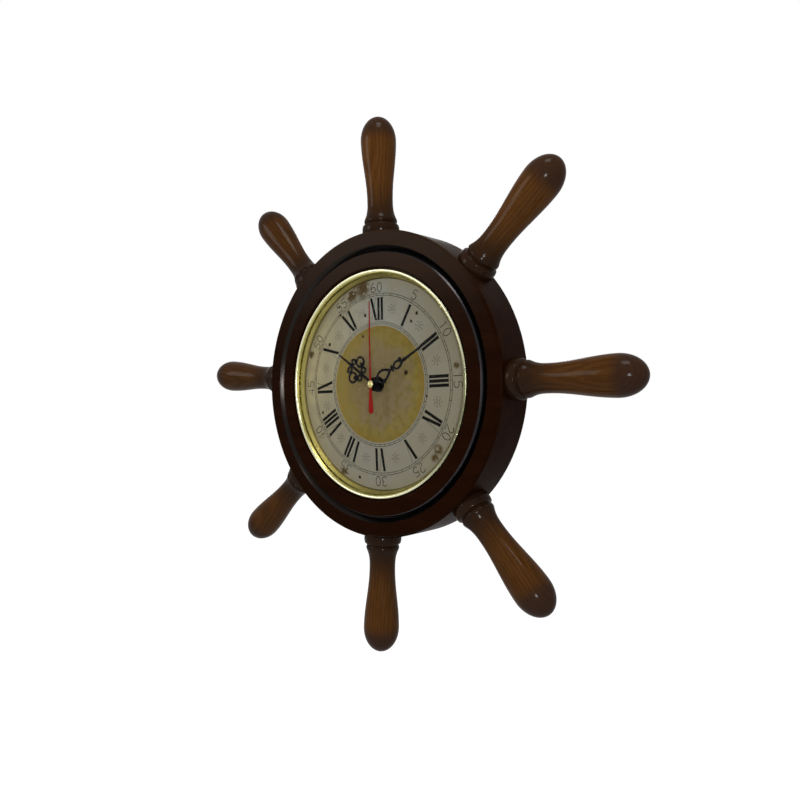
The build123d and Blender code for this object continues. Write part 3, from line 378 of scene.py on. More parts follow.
def bezel_brass():
    """Polished brass: a painted highlight on the crown of the roll, darker towards its outer edge, an olive inner
    edge beside the glass that is part tarnish and part painted dark reflection, and a painted dark reflection over
    the lower right side.
    """
    material, tree, shader = finish_of("polished_bezel_brass")
    place = object_place(tree)
    cloud = noise(tree, place, 60.0, 4.0)
    waver = spread(tree, cloud, 0.3, 0.7, -BAND_WAVER, BAND_WAVER)
    # The radius, with a waver, places bands along the roll: an olive inner edge, part tarnish and part painted dark
    # reflection, a painted highlight on the crown, and a darker outer edge
    worn = calc(tree, "ADD", length_of(tree, flattened(tree, place)), waver)
    colour = tinted(tree, spread(tree, worn, ROLL_INNER - TARNISH_AND_REFLECTION_REACH, ROLL_OUTER, smooth=False),
                    (0.0, (0.24, 0.210, 0.060)), (0.08, (0.36, 0.330, 0.120)), (0.16, (0.50, 0.475, 0.25)),
                    (0.28, (0.56, 0.545, 0.36)), (0.80, (0.50, 0.495, 0.34)), (1.0, (0.36, 0.36, 0.25)))
    # Painted dark reflection: the brass is darkened over its lower right side
    right = spread(tree, coordinate(tree, place, "X"), DARK_REFLECTION_LEFT, DARK_REFLECTION_RIGHT, 0.0, 0.86)
    lower = spread(tree, coordinate(tree, place, "Z"), DARK_REFLECTION_LOW, DARK_REFLECTION_HIGH, 1.0, 0.0)
    colour = blended(tree, calc(tree, "MULTIPLY", right, lower), colour, (0.105, 0.102, 0.052))
    wire(tree, shader, Base_Color=colour, Metallic=1.0, Roughness=spread(tree, cloud, 0.3, 0.7, 0.25, 0.31))
    return material


def sight_gilt():
    """Satin gilt ring between the glass and the dial: faint clouding, and a painted brown shadow where its foot
    meets the card.
    """
    material, tree, shader = finish_of("satin_sight_gilt")
    place = object_place(tree)
    cloud = noise(tree, place, 30.0, 4.0)
    gilt = tinted(tree, cloud, (0.3, (0.285, 0.235, 0.066)), (0.7, (0.40, 0.335, 0.112)))
    # Painted shadow: brown towards the foot, where the ring meets the dial
    foot = spread(tree, length_of(tree, flattened(tree, place)), FOOT_SHADOW_START, FOOT_SHADOW_END, 0.85, 0.0)
    wire(tree, shader, Base_Color=blended(tree, foot, gilt, (0.055, 0.036, 0.010)), Metallic=1.0,
         Roughness=spread(tree, cloud, 0.3, 0.7, 0.46, 0.54))
    return material


def moulded(name, colour, roughness, scale=120.0, gloss=0.4, texture=0.15):
    """Moulded plastic, rubber or enamel: a faint mottle and a fine skin; texture is the skin's depth."""
    material, tree, shader = finish_of(name)
    place = object_place(tree)
    cloud = noise(tree, place, scale, 5.0)
    skin = noise(tree, place, 2600.0, 2.0)
    darker = tuple(0.78 * c for c in colour)
    lighter = tuple(min(1.0, 1.12 * c) for c in colour)
    wire(tree, shader, Base_Color=tinted(tree, cloud, (0.3, darker), (0.7, lighter)),
         Roughness=spread(tree, skin, 0.25, 0.75, roughness - 0.06, roughness + 0.08),
         Specular_IOR_Level=gloss, Normal=bumped(tree, skin, texture, 0.1 * MM))
    return material


def clear_glass():
    """Clear glass with a trace of green; lamps, soft light and gloss shine through it."""
    material, tree, shader = finish_of("clear_lens_glass")
    place = object_place(tree)
    smear = noise(tree, place, 35.0, 4.0)
    wire(tree, shader, Base_Color=tinted(tree, smear, (0.3, (0.965, 0.975, 0.965)), (0.7, (0.985, 0.99, 0.985))),
         Roughness=spread(tree, smear, 0.55, 0.8, 0.0, 0.03), Transmission_Weight=1.0, IOR=1.06)
    through = put(tree, "ShaderNodeBsdfTransparent", {"Color": (0.97, 0.98, 0.97)})
    soft_ray = any_ray(tree, "Is Shadow Ray", "Is Diffuse Ray", "Is Glossy Ray")
    both = put(tree, "ShaderNodeMixShader", {0: soft_ray, 1: shader.outputs[0], 2: through.outputs[0]})
    output = next(n for n in tree.nodes if n.type == "OUTPUT_MATERIAL")
    tree.links.new(both.outputs[0], output.inputs["Surface"])
    return material


def aged_patches(tree, flat, marks, inner):
    """Largest of soft round masks about the marks; inner is the share of each reach that is full."""
    mask = None
    for angle, radius, reach in marks:
        x, z = radial(0.0, radius, angle)
        far = put(tree, "ShaderNodeVectorMath", {0: flat, 1: (x, 0.0, z)}, operation="DISTANCE").outputs["Value"]
        patch = spread(tree, far, reach, reach * inner)
        mask = patch if mask is None else calc(tree, "MAXIMUM", mask, patch)
    return mask


def dial_card():
    """Printed dial card with an aged look: grey cream, an ochre disc, and rust-brown patches and spots; painted
    light makes the cream and ochre lighter towards the left, and painted shade darkens the card towards the bottom.
    """
    material, tree, shader = finish_of("aged_dial_card")
    place = object_place(tree)
    flat = flattened(tree, place)
    radius = length_of(tree, flat)
    cloud = noise(tree, flat, 55.0, 5.0, 0.6)
    fine = noise(tree, flat, 900.0, 3.0)
    ragged = noise(tree, flat, 420.0, 5.0, 0.7)
    blotch = noise(tree, flat, 170.0, 4.0, 0.6)
    across = coordinate(tree, place, "X")
    # Painted light: the cream is lighter and yellower towards the left and darker towards the right
    cream_and_painted_light = tinted(tree, spread(tree, across, -SIGHT_FOOT, SIGHT_FOOT, smooth=False),
                   (0.0, (0.460, 0.385, 0.205)), (0.14, (0.370, 0.312, 0.190)), (0.45, (0.312, 0.303, 0.266)),
                   (0.85, (0.252, 0.224, 0.168)))
    # Painted shade: the card darkens towards the bottom
    painted_shade = spread(tree, coordinate(tree, place, "Z"), PAINTED_SHADE_FROM, -SIGHT_FOOT, 0.0, 0.6)
    cream_and_painted_light = blended(tree, painted_shade, cream_and_painted_light, (0.220, 0.196, 0.150))
    cream_and_painted_light = blended(tree, spread(tree, cloud, 0.34, 0.62, 0.5, 0.0), cream_and_painted_light, (0.262, 0.212, 0.146))
    drift = calc(tree, "ADD", radius, spread(tree, noise(tree, flat, 75.0, 4.0), 0.3, 0.7, OCHRE_IN, OCHRE_OUT))
    ochre = tinted(tree, spread(tree, drift, 0.0, OCHRE_RADIUS, smooth=False),
                   (0.0, (0.205, 0.148, 0.078)), (0.62, (0.207, 0.150, 0.076)), (0.84, (0.222, 0.160, 0.040)),
                   (1.0, (0.212, 0.136, 0.028)))
    ochre = blended(tree, spread(tree, blotch, 0.44, 0.66, 0.0, 0.6), ochre, (0.148, 0.112, 0.026))
    # Painted light: the ochre is paler towards the left
    ochre = blended(tree, spread(tree, across, 0.0, OCHRE_PAINTED_LIGHT, 0.0, 0.55), ochre, (0.275, 0.190, 0.052))
    wobble = calc(tree, "ADD", radius, calc(tree, "MULTIPLY", ragged, OCHRE_WOBBLE))
    disc = spread(tree, wobble, OCHRE_RADIUS + OCHRE_EDGE, OCHRE_RADIUS + OCHRE_FULL)
    colour = blended(tree, disc, cream_and_painted_light, ochre)
    edge = calc(tree, "MULTIPLY", spread(tree, radius, STAIN_START, STAIN_FULL),
                spread(tree, cloud, 0.35, 0.7, 0.1, 0.6))
    colour = blended(tree, edge, colour, (0.215, 0.170, 0.085))
    rust = calc(tree, "MULTIPLY", aged_patches(tree, flat, RUST_PATCHES, 0.35), spread(tree, blotch, 0.38, 0.50))
    colour = blended(tree, rust, colour, (0.086, 0.052, 0.020))
    bite = put(tree, "ShaderNodeTexNoise", {"Vector": flat, "Scale": 600.0, "Detail": 2.0}).outputs[1]
    bite = put(tree, "ShaderNodeVectorMath", {0: bite, "Scale": SPOT_NIBBLE}, operation="SCALE").outputs[0]
    nibbled = put(tree, "ShaderNodeVectorMath", {0: flat, 1: bite}, operation="ADD").outputs[0]
    spots = aged_patches(tree, flattened(tree, nibbled), DARK_SPOTS, 0.55)
    colour = blended(tree, spots, colour, (0.022, 0.012, 0.006))
    wire(tree, shader, Base_Color=colour, Roughness=spread(tree, fine, 0.3, 0.7, 0.55, 0.7),
         Specular_IOR_Level=0.06, Normal=bumped(tree, fine, 0.06, 0.1 * MM))
    return material


def printing_ink(name, colour, worn):
    """Ink with slightly worn cover."""
    material, tree, shader = finish_of(name)
    place = object_place(tree)
    patchy = noise(tree, place, 700.0, 4.0)
    wire(tree, shader, Base_Color=tinted(tree, patchy, (0.35, colour), (0.8, worn)),
         Roughness=spread(tree, patchy, 0.3, 0.7, 0.45, 0.6), Specular_IOR_Level=0.04)
    return material


def battery_jacket():
    """Cell with bare metal ends and a jacket of two plain bands with a bright line between."""
    material, tree, shader = finish_of("cell_jacket_bands")
    place = object_place(tree)
    along = coordinate(tree, place, "X")
    scuff = noise(tree, place, 300.0, 4.0)
    jacket = tinted(tree, spread(tree, along, -CELL_HALF, CELL_HALF, smooth=False),
                    (0.0, (0.012, 0.012, 0.014)), (0.66, (0.016, 0.016, 0.018)), (0.67, (0.75, 0.73, 0.68)),
                    (0.69, (0.60, 0.27, 0.10)), (1.0, (0.66, 0.31, 0.12)))
    ends = calc(tree, "GREATER_THAN", calc(tree, "ABSOLUTE", along), JACKET_HALF)
    colour = blended(tree, ends, jacket, (0.55, 0.55, 0.54))
    colour = blended(tree, spread(tree, scuff, 0.62, 0.75, 0.0, 0.3), colour, (0.3, 0.3, 0.3))
    wire(tree, shader, Base_Color=colour, Metallic=spread(tree, along, FOIL_DULL, FOIL_BRIGHT, 0.35, 0.75),
         Roughness=spread(tree, scuff, 0.3, 0.7, 0.22, 0.38))
    return material


def wound_copper():
    """Enamelled copper wire: close turns side by side along the coil."""
    material, tree, shader = finish_of("enamelled_copper")
    place = object_place(tree)
    along = coordinate(tree, place, "X")
    turns = calc(tree, "SINE", calc(tree, "MULTIPLY", along, 2 * math.pi / WIRE_PITCH))
    cloud = noise(tree, place, 500.0, 3.0)
    wire(tree, shader, Base_Color=tinted(tree, cloud, (0.3, (0.50, 0.16, 0.05)), (0.7, (0.66, 0.25, 0.09))),
         Metallic=0.85, Roughness=spread(tree, cloud, 0.3, 0.7, 0.25, 0.4),
         Normal=bumped(tree, turns, 0.5, 0.06 * MM))
    return material


def hard_board():
    """Brown pressed board behind the dial: short fibres and flecks."""
    material, tree, shader = finish_of("pressed_board")
    place = object_place(tree)
    fibres = noise(tree, stretched(tree, place, (260, 260, 900)), 1.0, 5.0, 0.65, 1.0)
    flecks = noise(tree, place, 1400.0, 2.0)
    colour = tinted(tree, fibres, (0.30, (0.120, 0.066, 0.030)), (0.55, (0.185, 0.108, 0.054)),
                    (0.80, (0.250, 0.160, 0.088)))
    colour = blended(tree, spread(tree, flecks, 0.62, 0.72, 0.0, 0.6), colour, (0.07, 0.036, 0.016))
    wire(tree, shader, Base_Color=colour, Roughness=spread(tree, fibres, 0.3, 0.7, 0.62, 0.8),
         Specular_IOR_Level=0.2, Normal=bumped(tree, fibres, 0.25, 0.2 * MM))
    return material


STEEL_PALE, STEEL_DEEP = (0.62, 0.62, 0.60), (0.46, 0.46, 0.45)
finishes = {
    "drum_wood": drum_wood(),
    "handle_wood": handle_wood(),
    "bezel_brass": bezel_brass(),
    "sight_gilt": sight_gilt(),
    "clear_glass": clear_glass(),
    "dial_print": dial_card(),
    "board_wood": hard_board(),
    "screw_brass": polished_metal("screw_brass", (0.72, 0.58, 0.28), (0.52, 0.40, 0.18), 0.28, 400.0),
    "nut_black": polished_metal("black_plated_nut", (0.020, 0.020, 0.022), (0.010, 0.010, 0.011), 0.42, 400.0),
    "hanger_steel": polished_metal("plated_hanger_steel", STEEL_PALE, STEEL_DEEP, 0.32, 250.0, (200, 200, 2600)),
    "case_plastic": moulded("black_movement_plastic", (0.016, 0.016, 0.017), 0.48),
    "gasket_rubber": moulded("black_gasket_rubber", (0.020, 0.020, 0.020), 0.75, gloss=0.25, texture=0.3),
    "gear_plastic": moulded("natural_gear_plastic", (0.62, 0.60, 0.54), 0.42),
    "magnet_plastic": moulded("dark_magnet_plastic", (0.050, 0.046, 0.044), 0.45),
    "knob_plastic": moulded("grey_knob_plastic", (0.060, 0.060, 0.062), 0.45),
    "motor_steel": polished_metal("motor_steel", STEEL_PALE, STEEL_DEEP, 0.35, 350.0),
    "coil_copper": wound_copper(),
    "board_green": moulded("green_circuit_board", (0.020, 0.110, 0.045), 0.38, 500.0),
    "can_metal": polished_metal("crystal_can", (0.70, 0.70, 0.69), (0.56, 0.56, 0.55), 0.22, 500.0),
    "cell_jacket": battery_jacket(),
    "contact_metal": polished_metal("sprung_contact", (0.68, 0.66, 0.60), (0.54, 0.52, 0.47), 0.26, 400.0),
    "hand_black": moulded("black_hand_enamel", (0.0030, 0.0032, 0.0042), 0.26, 300.0, gloss=0.06, texture=0.05),
    "hand_red": moulded("red_hand_enamel", (0.270, 0.006, 0.004), 0.34, 300.0, gloss=0.06, texture=0.05),
    "cap_brass": polished_metal("polished_cap_brass", (0.50, 0.44, 0.21), (0.34, 0.29, 0.11), 0.32, 600.0),
}
bold_ink = printing_ink("bold_black_ink", (0.0030, 0.0028, 0.0026), (0.009, 0.008, 0.007))
fine_ink = printing_ink("fine_grey_ink", (0.006, 0.005, 0.004), (0.030, 0.025, 0.018))


# Mesh helpers

def grid_faces(rows, columns, wrap_rows=False, wrap_columns=False):
    """Quads of a grid of points numbered row by row, wrapped round where asked."""
    row, column = np.meshgrid(np.arange(rows - (not wrap_rows)), np.arange(columns - (not wrap_columns)),
                              indexing="ij")
    next_row, next_column = (row + 1) % rows, (column + 1) % columns
    corners = (row * columns + column, row * columns + next_column,
               next_row * columns + next_column, next_row * columns + column)
    return np.stack(corners, -1).reshape(-1, 4)


def joined(parts):
    """Several (points, faces) as one pair."""
    points, faces, start = [], [], 0
    for part_points, part_faces in parts:
        points.append(part_points)
        faces += [face + start for face in part_faces]
        start += len(part_points)
    return np.concatenate(points), faces


def piece_of(name, points, faces, body, material, smooth=True):
    """A new piece from points and arrays of faces, which rides on a body."""
    mesh = bpy.data.meshes.new(name)
    mesh.from_pydata(points.tolist(), [], [face for group in faces for face in group.tolist()])
    mesh.polygons.foreach_set("use_smooth", np.full(len(mesh.polygons), smooth))
    mesh.materials.append(material)
    mesh.update()
    piece = bpy.data.objects.new(name, mesh)
    bpy.context.scene.collection.objects.link(piece)
    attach(piece, body)
    return piece


# Handles

def bow(start, middle, end, steps):
    """Points of the parabola through three points, without the last."""
    t = np.linspace(0, 1, steps, endpoint=False)[:, None]
    start, middle, end = map(np.array, (start, middle, end))
    return start * (1 - t) * (1 - 2 * t) + middle * 4 * t * (1 - t) + end * t * (2 * t - 1)


def flow(start, end, lean_start, lean_end, steps):
    """Radius along the axis as a cubic with a lean, radius per length, at each end, without the last point."""
    t = np.linspace(0, 1, steps, endpoint=False)
    run = end[1] - start[1]
    radius = ((2 * t**3 - 3 * t**2 + 1) * start[0] + (t**3 - 2 * t**2 + t) * run * lean_start
              + (3 * t**2 - 2 * t**3) * end[0] + (t**3 - t**2) * run * lean_end)
    return np.stack((radius, start[1] + run * t), -1)


def straight(start, end, steps):
    """Points of a straight line, without the last."""
    t = np.linspace(0, 1, steps, endpoint=False)[:, None]
    return np.array(start) * (1 - t) + np.array(end) * t


def handle_profile():
    """Radius and reach of the turned handle, from its tenon to its rounded end, with softened edges."""
    collar_in, collar_out = COLLAR_RADIUS - COLLAR_FOOT, COLLAR_RADIUS - COLLAR_SHOULDER
    quirk_floor = (QUIRK_RADIUS, QUIRK_START + QUIRK_WIDTH / 2)
    bead_side = BEAD_RADIUS - BEAD_EDGE

    def fine(length):
        return max(3, round(length / FINE_STEP))

    def coarse(length):
        return max(3, round(length / COARSE_STEP))

    turned = np.concatenate((
        straight((TENON_RADIUS, TENON_FOOT), (TENON_RADIUS, SEAT), coarse(TENON_LENGTH)),
        straight((TENON_RADIUS, SEAT), (collar_in, SEAT), fine(collar_in - TENON_RADIUS)),
        bow((collar_in, SEAT), (COLLAR_RADIUS, SEAT + COLLAR_LENGTH / 2), (collar_out, QUIRK_START),
            fine(COLLAR_LENGTH)),
        straight((collar_out, QUIRK_START), quirk_floor, fine(QUIRK_WIDTH)),
        straight(quirk_floor, (bead_side, BEAD_START), fine(QUIRK_WIDTH)),
        bow((bead_side, BEAD_START), (BEAD_RADIUS, BEAD_START + BEAD_LENGTH / 2), (bead_side, BEAD_END),
            fine(BEAD_LENGTH)),
        flow((bead_side, BEAD_END), (NECK_RADIUS, NECK_AT), -NECK_LEAN, 0.0, coarse(NECK_RUN) * 2),
        flow((NECK_RADIUS, NECK_AT), (GRIP_RADIUS, GRIP_END), 0.0, 0.0, coarse(GRIP_RUN)),
    ))
    for _ in range(EDGE_ROUND):
        turned[1:-1] = (turned[:-2] + 2 * turned[1:-1] + turned[2:]) / 4
    t = np.linspace(0, math.pi / 2, coarse(END_CURVE), endpoint=False)
    end = np.stack((GRIP_RADIUS * np.cos(t), GRIP_END + END_RUN * np.sin(t)), -1)
    return np.concatenate((turned, end))


def turned_handle(name, angle, shift, roll, painted_light_scale):
    """The profile revolved about the handle's axis and closed at both poles; each point keeps its grain and the
    handle's painted light.
    """
    profile = handle_profile()
    turn = np.linspace(0, 2 * math.pi, TURN_SEGMENTS, endpoint=False)
    radius, reach = profile[:, :1], profile[:, 1:]
    across = np.stack((radius * np.cos(turn), radius * np.sin(turn), reach + 0 * turn), -1).reshape(-1, 3)
    across = np.concatenate((across, ((0, 0, TENON_FOOT), (0, 0, TIP))))
    way = np.array((math.cos(angle), 0, math.sin(angle)))
    up = np.array((-math.sin(angle), 0, math.cos(angle)))
    points = across @ np.array(((0, 1, 0), up, way)) + (0, HANDLE_Y, 0)
    rows = len(profile)
    ring = np.arange(TURN_SEGMENTS)
    after = (ring + 1) % TURN_SEGMENTS
    last = (rows - 1) * TURN_SEGMENTS
    foot_fan = np.stack((after, ring, 0 * ring + rows * TURN_SEGMENTS), -1)
    tip_fan = np.stack((last + ring, last + after, 0 * ring + rows * TURN_SEGMENTS + 1), -1)
    faces = (grid_faces(rows, TURN_SEGMENTS, wrap_columns=True), foot_fan, tip_fan)
    piece = piece_of(name, points, faces, "clock_case", finishes["handle_wood"])
    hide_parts(name.replace("turned_", ""))
    spin = np.array(((math.cos(roll), math.sin(roll), 0), (-math.sin(roll), math.cos(roll), 0), (0, 0, 1)))
    for label, kind, field, values in (("grain", "FLOAT_VECTOR", "vector", across @ spin + shift),
                                       ("reach", "FLOAT", "value", across[:, 2]),
                                       ("painted_light", "FLOAT", "value", np.full(len(across), painted_light_scale))):
        layer = piece.data.attributes.new(label, kind, "POINT")
        layer.data.foreach_set(field, values.astype(np.float32).ravel())


chance = np.random.default_rng(GRAIN_SEED)
for index, (side, error, painted_light_scale) in enumerate(zip(HANDLE_NAMES, DRILLING_ERRORS, HANDLE_PAINTED_LIGHT)):
    direction = math.radians(index * 360 / len(HANDLE_NAMES) + error)
    shift, roll = chance.uniform(-GRAIN_SHIFT, GRAIN_SHIFT, 3), chance.uniform(0, 2 * math.pi)
    turned_handle(f"turned_handle_{side}", direction, shift, roll, painted_light_scale)


# Dial print

def raised(flat):
    """Points of the dial's plane as ink: their front and back layers, (2, n, 3)."""
    front = np.stack((flat[:, 0], np.full(len(flat), DIAL_Y - INK_LIFT), flat[:, 1]), -1)
    back = front + (0, INK_LIFT + INK_SINK, 0)
    return np.stack((front, back))


def plates(corners):
    """Closed thin plates from (n, k, 2) corners that run anticlockwise as seen from the front."""
    count, sides = corners.shape[:2]
    points = raised(corners.reshape(-1, 2)).reshape(-1, 3)
    front = np.arange(count * sides).reshape(count, sides)
    back = front + count * sides
    after = np.roll(front, -1, 1)
    walls = np.stack((front, back, after + count * sides, after), -1).reshape(-1, 4)
    return points, (front, back[:, ::-1], walls)


def ribbon(path, width, closed):
    """A line of even width: a flat section carried along a path, with ends where the path is open."""
    before = np.roll(path, 1, 0) if closed else np.concatenate((path[:1], path[:-1]))
    after = np.roll(path, -1, 0) if closed else np.concatenate((path[1:], path[-1:]))
    way = after - before
    way /= np.linalg.norm(way, axis=1, keepdims=True)
    side = np.stack((way[:, 1], -way[:, 0]), -1) * width / 2
    left, right = raised(path - side), raised(path + side)
    points = np.stack((left[0], left[1], right[1], right[0]), 1).reshape(-1, 3)
    faces = [grid_faces(len(path), 4, wrap_rows=closed, wrap_columns=True)]
    if not closed:
        last = 4 * (len(path) - 1)
        faces.append(np.array(((3, 2, 1, 0), (last, last + 1, last + 2, last + 3))))
    return points, faces


def numeral_strokes(text):
    """Strokes of a Roman numeral as (foot, head, width), and its breadth; V and X have a thick and a hair side."""
    strokes, at = [], 0.0
    for index, letter in enumerate(text):
        if index:
            at += STROKE_PITCH if letter == "I" and text[index - 1] == "I" else LETTER_GAP
        if letter == "I":
            strokes.append((at, at, THICK_STROKE))
        elif letter == "V":
            strokes += [(at + V_SPREAD / 2, at, THICK_STROKE), (at + V_SPREAD / 2, at + V_SPREAD, HAIR_STROKE)]
            at += V_SPREAD
        else:
            strokes += [(at + X_SPREAD, at, THICK_STROKE), (at, at + X_SPREAD, HAIR_STROKE)]
            at += X_SPREAD
    return np.array(strokes), at


def level_ended(foot, head, half, low, high, angle):
    """Corners of strokes on a ray, each from its foot to its head, with a half width and level ends."""
    return np.stack((radial(foot - half, low, angle), radial(foot + half, low, angle),
                     radial(head + half, high, angle), radial(head - half, high, angle)), 1)


def numeral_plates(text, angle):
    """A Roman numeral on its ray: leaning strokes with level ends, and a hair serif across each end."""
    strokes, breadth = numeral_strokes(text)
    foot, head, half = strokes[:, 0] - breadth / 2, strokes[:, 1] - breadth / 2, strokes[:, 2] / 2
    low, high = NUMERAL_FOOT, NUMERAL_FOOT + NUMERAL_HEIGHT
    body = level_ended(foot, head, half, low, high, angle)
    serifs = [level_ended(at, at, half + SERIF_REACH, level - SERIF_HEIGHT / 2, level + SERIF_HEIGHT / 2, angle)
              for at, level in ((foot, low), (head, high))]
    return plates(np.concatenate((body, *serifs)))


def ring_line(radius, width):
    """A thin printed circle: a ribbon along evenly spaced points of it."""
    turn = np.linspace(0, 2 * math.pi, RING_SEGMENTS, endpoint=False)
    return ribbon(radius * np.stack((np.sin(turn), np.cos(turn)), -1), width, True)


def tick_plates(inner, outer, width, count):
    """Short radial ticks, evenly round the dial."""
    across = np.array((-width / 2, width / 2, width / 2, -width / 2))
    along = np.array((inner, inner, outer, outer))
    angles = (DIAL_TURN + np.arange(count) * 360 / count)[:, None]
    return plates(radial(across, along, angles))


def sweep(centre, size, start, end, steps=14):
    """Points of an arc of an ellipse, angles in degrees anticlockwise from the right."""
    turn = np.radians(np.linspace(start, end, steps))
    return np.stack((centre[0] + size[0] * np.cos(turn), centre[1] + size[1] * np.sin(turn)), -1)


# Figures in a box 0.6 wide and 1 high, drawn as one line each; only the nought closes on itself
FIGURES = {
    "0": sweep((0.3, 0.5), (0.27, 0.5), 90, 435, 24),
    "1": np.array(((0.10, 0.80), (0.32, 1.0), (0.32, 0.0))),
    "2": np.concatenate((sweep((0.3, 0.72), (0.27, 0.28), 165, -35), ((0.03, 0.0), (0.6, 0.0)))),
    "3": np.concatenate((sweep((0.27, 0.75), (0.25, 0.25), 150, -80),
                         sweep((0.27, 0.26), (0.3, 0.26), 80, -150))),
    "4": np.array(((0.46, 0.0), (0.46, 1.0), (0.02, 0.3), (0.6, 0.3))),
    "5": np.concatenate((((0.55, 1.0), (0.12, 1.0), (0.08, 0.56)),
                         sweep((0.28, 0.31), (0.3, 0.31), 120, -150))),
    "6": np.concatenate((sweep((0.45, 0.5), (0.42, 0.5), 95, 180, 8),
                         sweep((0.31, 0.28), (0.27, 0.28), 190, 530, 22))),
}
FIGURE_BREADTH = 0.6


def number_lines(number, angle):
    """A small number in thin lines on its ray, outside the minute ring."""
    text = str(number)
    step = NUMBER_WIDTH + NUMBER_GAP
    start = -(step * len(text) - NUMBER_GAP) / 2
    for index, figure in enumerate(text):
        path = FIGURES[figure] * (NUMBER_WIDTH / FIGURE_BREADTH, NUMBER_HEIGHT) + (start + index * step, NUMBER_FOOT)
        yield ribbon(radial(path[:, 0], path[:, 1], angle), NUMBER_LINE, figure == "0")


def floret_plates(angle):
    """Rings of dots between two numerals; each dot is a small polygon about a point of its ring."""
    dots = [(2 * math.pi * dot / count, reach) for count, reach in FLORET_RINGS for dot in range(count)]
    around, reach = np.array(dots).T[:, :, None]
    rim = np.radians(np.arange(DOT_SEGMENTS) * 360 / DOT_SEGMENTS)
    across = reach * np.cos(around) + DOT_RADIUS * np.cos(rim)
    along = FLORET_RADIUS + reach * np.sin(around) + DOT_RADIUS * np.sin(rim)
    return plates(radial(across, along, angle))


def print_piece(name, parts, ink):
    """One print layer of the dial."""
    points, faces = joined(parts)
    piece_of(name, points, faces, "clock_case", ink, smooth=False)


NUMERALS = ("XII", "I", "II", "III", "IV", "V", "VI", "VII", "VIII", "IX", "X", "XI")
HOUR_STEP = 360 / HOURS
print_piece("dial_hour_numerals",
            [numeral_plates(text, DIAL_TURN + index * HOUR_STEP) for index, text in enumerate(NUMERALS)], bold_ink)
print_piece("dial_minute_track", [ring_line(radius, RING_LINE) for radius in MINUTE_RINGS]
            + [tick_plates(*MINUTE_RINGS, TICK_LINE, MINUTES)], fine_ink)
print_piece("dial_inner_track", [ring_line(radius, RING_LINE) for radius in HOUR_RINGS]
            + [tick_plates(*HOUR_RINGS, TICK_LINE, MINUTES)], fine_ink)
print_piece("dial_minute_numbers",
            [line for hour in range(HOURS)
             for line in number_lines(MINUTES // HOURS * (hour or HOURS), DIAL_TURN + hour * HOUR_STEP)], fine_ink)
print_piece("dial_florets", [floret_plates(DIAL_TURN + (hour + 0.5) * HOUR_STEP) for hour in range(HOURS)], fine_ink)


# Finishes of the solids that stay

for subpart in frame["record"]["subparts"]:
    kept = nodes[subpart["node"]].data
    kept.materials.clear()
    kept.materials.append(finishes[subpart["material_slot"]])


# Stage: a pale floor below, soft lamps, and a white surround for what looks at it

FLOOR_DROP = 1.1
FLOOR_HALF = 6.0
FLOOR_GLOW = 0.93
AMBIENT = 0.23
# Rays that see the surround as white: from the camera, from gloss and through glass
SEEN_RAYS = ("Is Camera Ray", "Is Glossy Ray", "Is Transmission Ray")
# Lamps: name, place, width, power in watts, colour
LAMPS = (("window_lamp", (1.14, -1.32, 0.06), 0.26, 14.5, (0.93, 0.97, 1.0)),
         ("room_lamp", (-1.20, -1.44, 0.52), 0.7, 9.5, (1.0, 0.97, 0.92)),
         ("ceiling_lamp", (0.5, -0.6, 1.9), 0.7, 17.0, (1.0, 0.98, 0.95)),
         ("back_lamp", (-1.15, 1.36, 0.30), 0.8, 14.0, (1.0, 0.99, 0.97)))


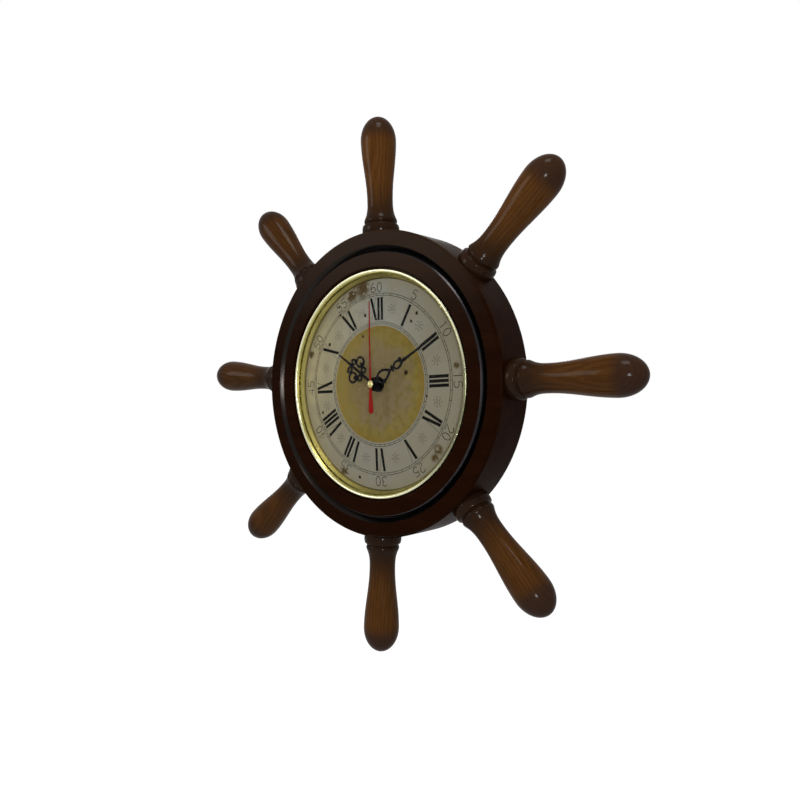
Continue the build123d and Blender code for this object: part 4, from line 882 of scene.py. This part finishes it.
def pale_floor():
    """A level floor that shows near white and keeps shadows."""
    material, tree, shader = finish_of("pale_floor")
    cloud = noise(tree, object_place(tree), 1.5, 3.0)
    wire(tree, shader, Base_Color=tinted(tree, cloud, (0.3, (0.52, 0.52, 0.52)), (0.7, (0.56, 0.56, 0.56))),
         Roughness=0.9, Specular_IOR_Level=0.0, Emission_Color=(1, 1, 1),
         Emission_Strength=calc(tree, "MULTIPLY", any_ray(tree, *SEEN_RAYS), FLOOR_GLOW))
    corners = np.array(((-1, -1), (1, -1), (1, 1), (-1, 1))) * FLOOR_HALF
    mesh = bpy.data.meshes.new("floor")
    mesh.from_pydata([(x, y, -FLOOR_DROP) for x, y in corners], [], [(0, 1, 2, 3)])
    mesh.materials.append(material)
    floor = bpy.data.objects.new("floor", mesh)
    bpy.context.scene.collection.objects.link(floor)


def white_surround():
    """A world that lights softly and shows white."""
    world = bpy.data.worlds.new("white_surround")
    world.use_nodes = True
    bpy.context.scene.world = world
    tree = world.node_tree
    tree.nodes.clear()
    light = put(tree, "ShaderNodeBackground", {"Color": (0.95, 0.97, 1.0), "Strength": AMBIENT})
    white = put(tree, "ShaderNodeBackground", {"Color": (1.0, 1.0, 1.0), "Strength": 1.0})
    seen = any_ray(tree, *SEEN_RAYS)
    both = put(tree, "ShaderNodeMixShader", {0: seen, 1: light.outputs[0], 2: white.outputs[0]})
    put(tree, "ShaderNodeOutputWorld", {"Surface": both.outputs[0]})


def soft_lamp(name, place, width, power, colour):
    """A square lamp that faces the clock."""
    lamp = bpy.data.lights.new(name, "AREA")
    lamp.size, lamp.energy, lamp.color = width, power, colour
    holder = bpy.data.objects.new(name, lamp)
    holder.location = place
    holder.rotation_mode = "QUATERNION"
    holder.rotation_quaternion = (-Vector(place)).to_track_quat("-Z", "Y")
    bpy.context.scene.collection.objects.link(holder)


def photo_camera():
    """The camera where the photograph was taken, tilted by its roll."""
    ahead = (CAMERA_AIM - CAMERA_PLACE).normalized()
    right = ahead.cross(Vector((0, 0, 1))).normalized()
    up = right.cross(ahead)
    cosine, sine = math.cos(CAMERA_ROLL), math.sin(CAMERA_ROLL)
    turn = Matrix((cosine * right + sine * up, cosine * up - sine * right, -ahead)).transposed()
    data = bpy.data.cameras.new("photo_camera")
    data.lens, data.sensor_width = CAMERA_LENS, SENSOR_WIDTH
    camera = bpy.data.objects.new("photo_camera", data)
    camera.matrix_world = Matrix.Translation(CAMERA_PLACE) @ turn.to_4x4()
    bpy.context.scene.collection.objects.link(camera)
    bpy.context.scene.camera = camera


pale_floor()
white_surround()
for lamp in LAMPS:
    soft_lamp(*lamp)
photo_camera()
bpy.context.scene.view_settings.view_transform = "Standard"
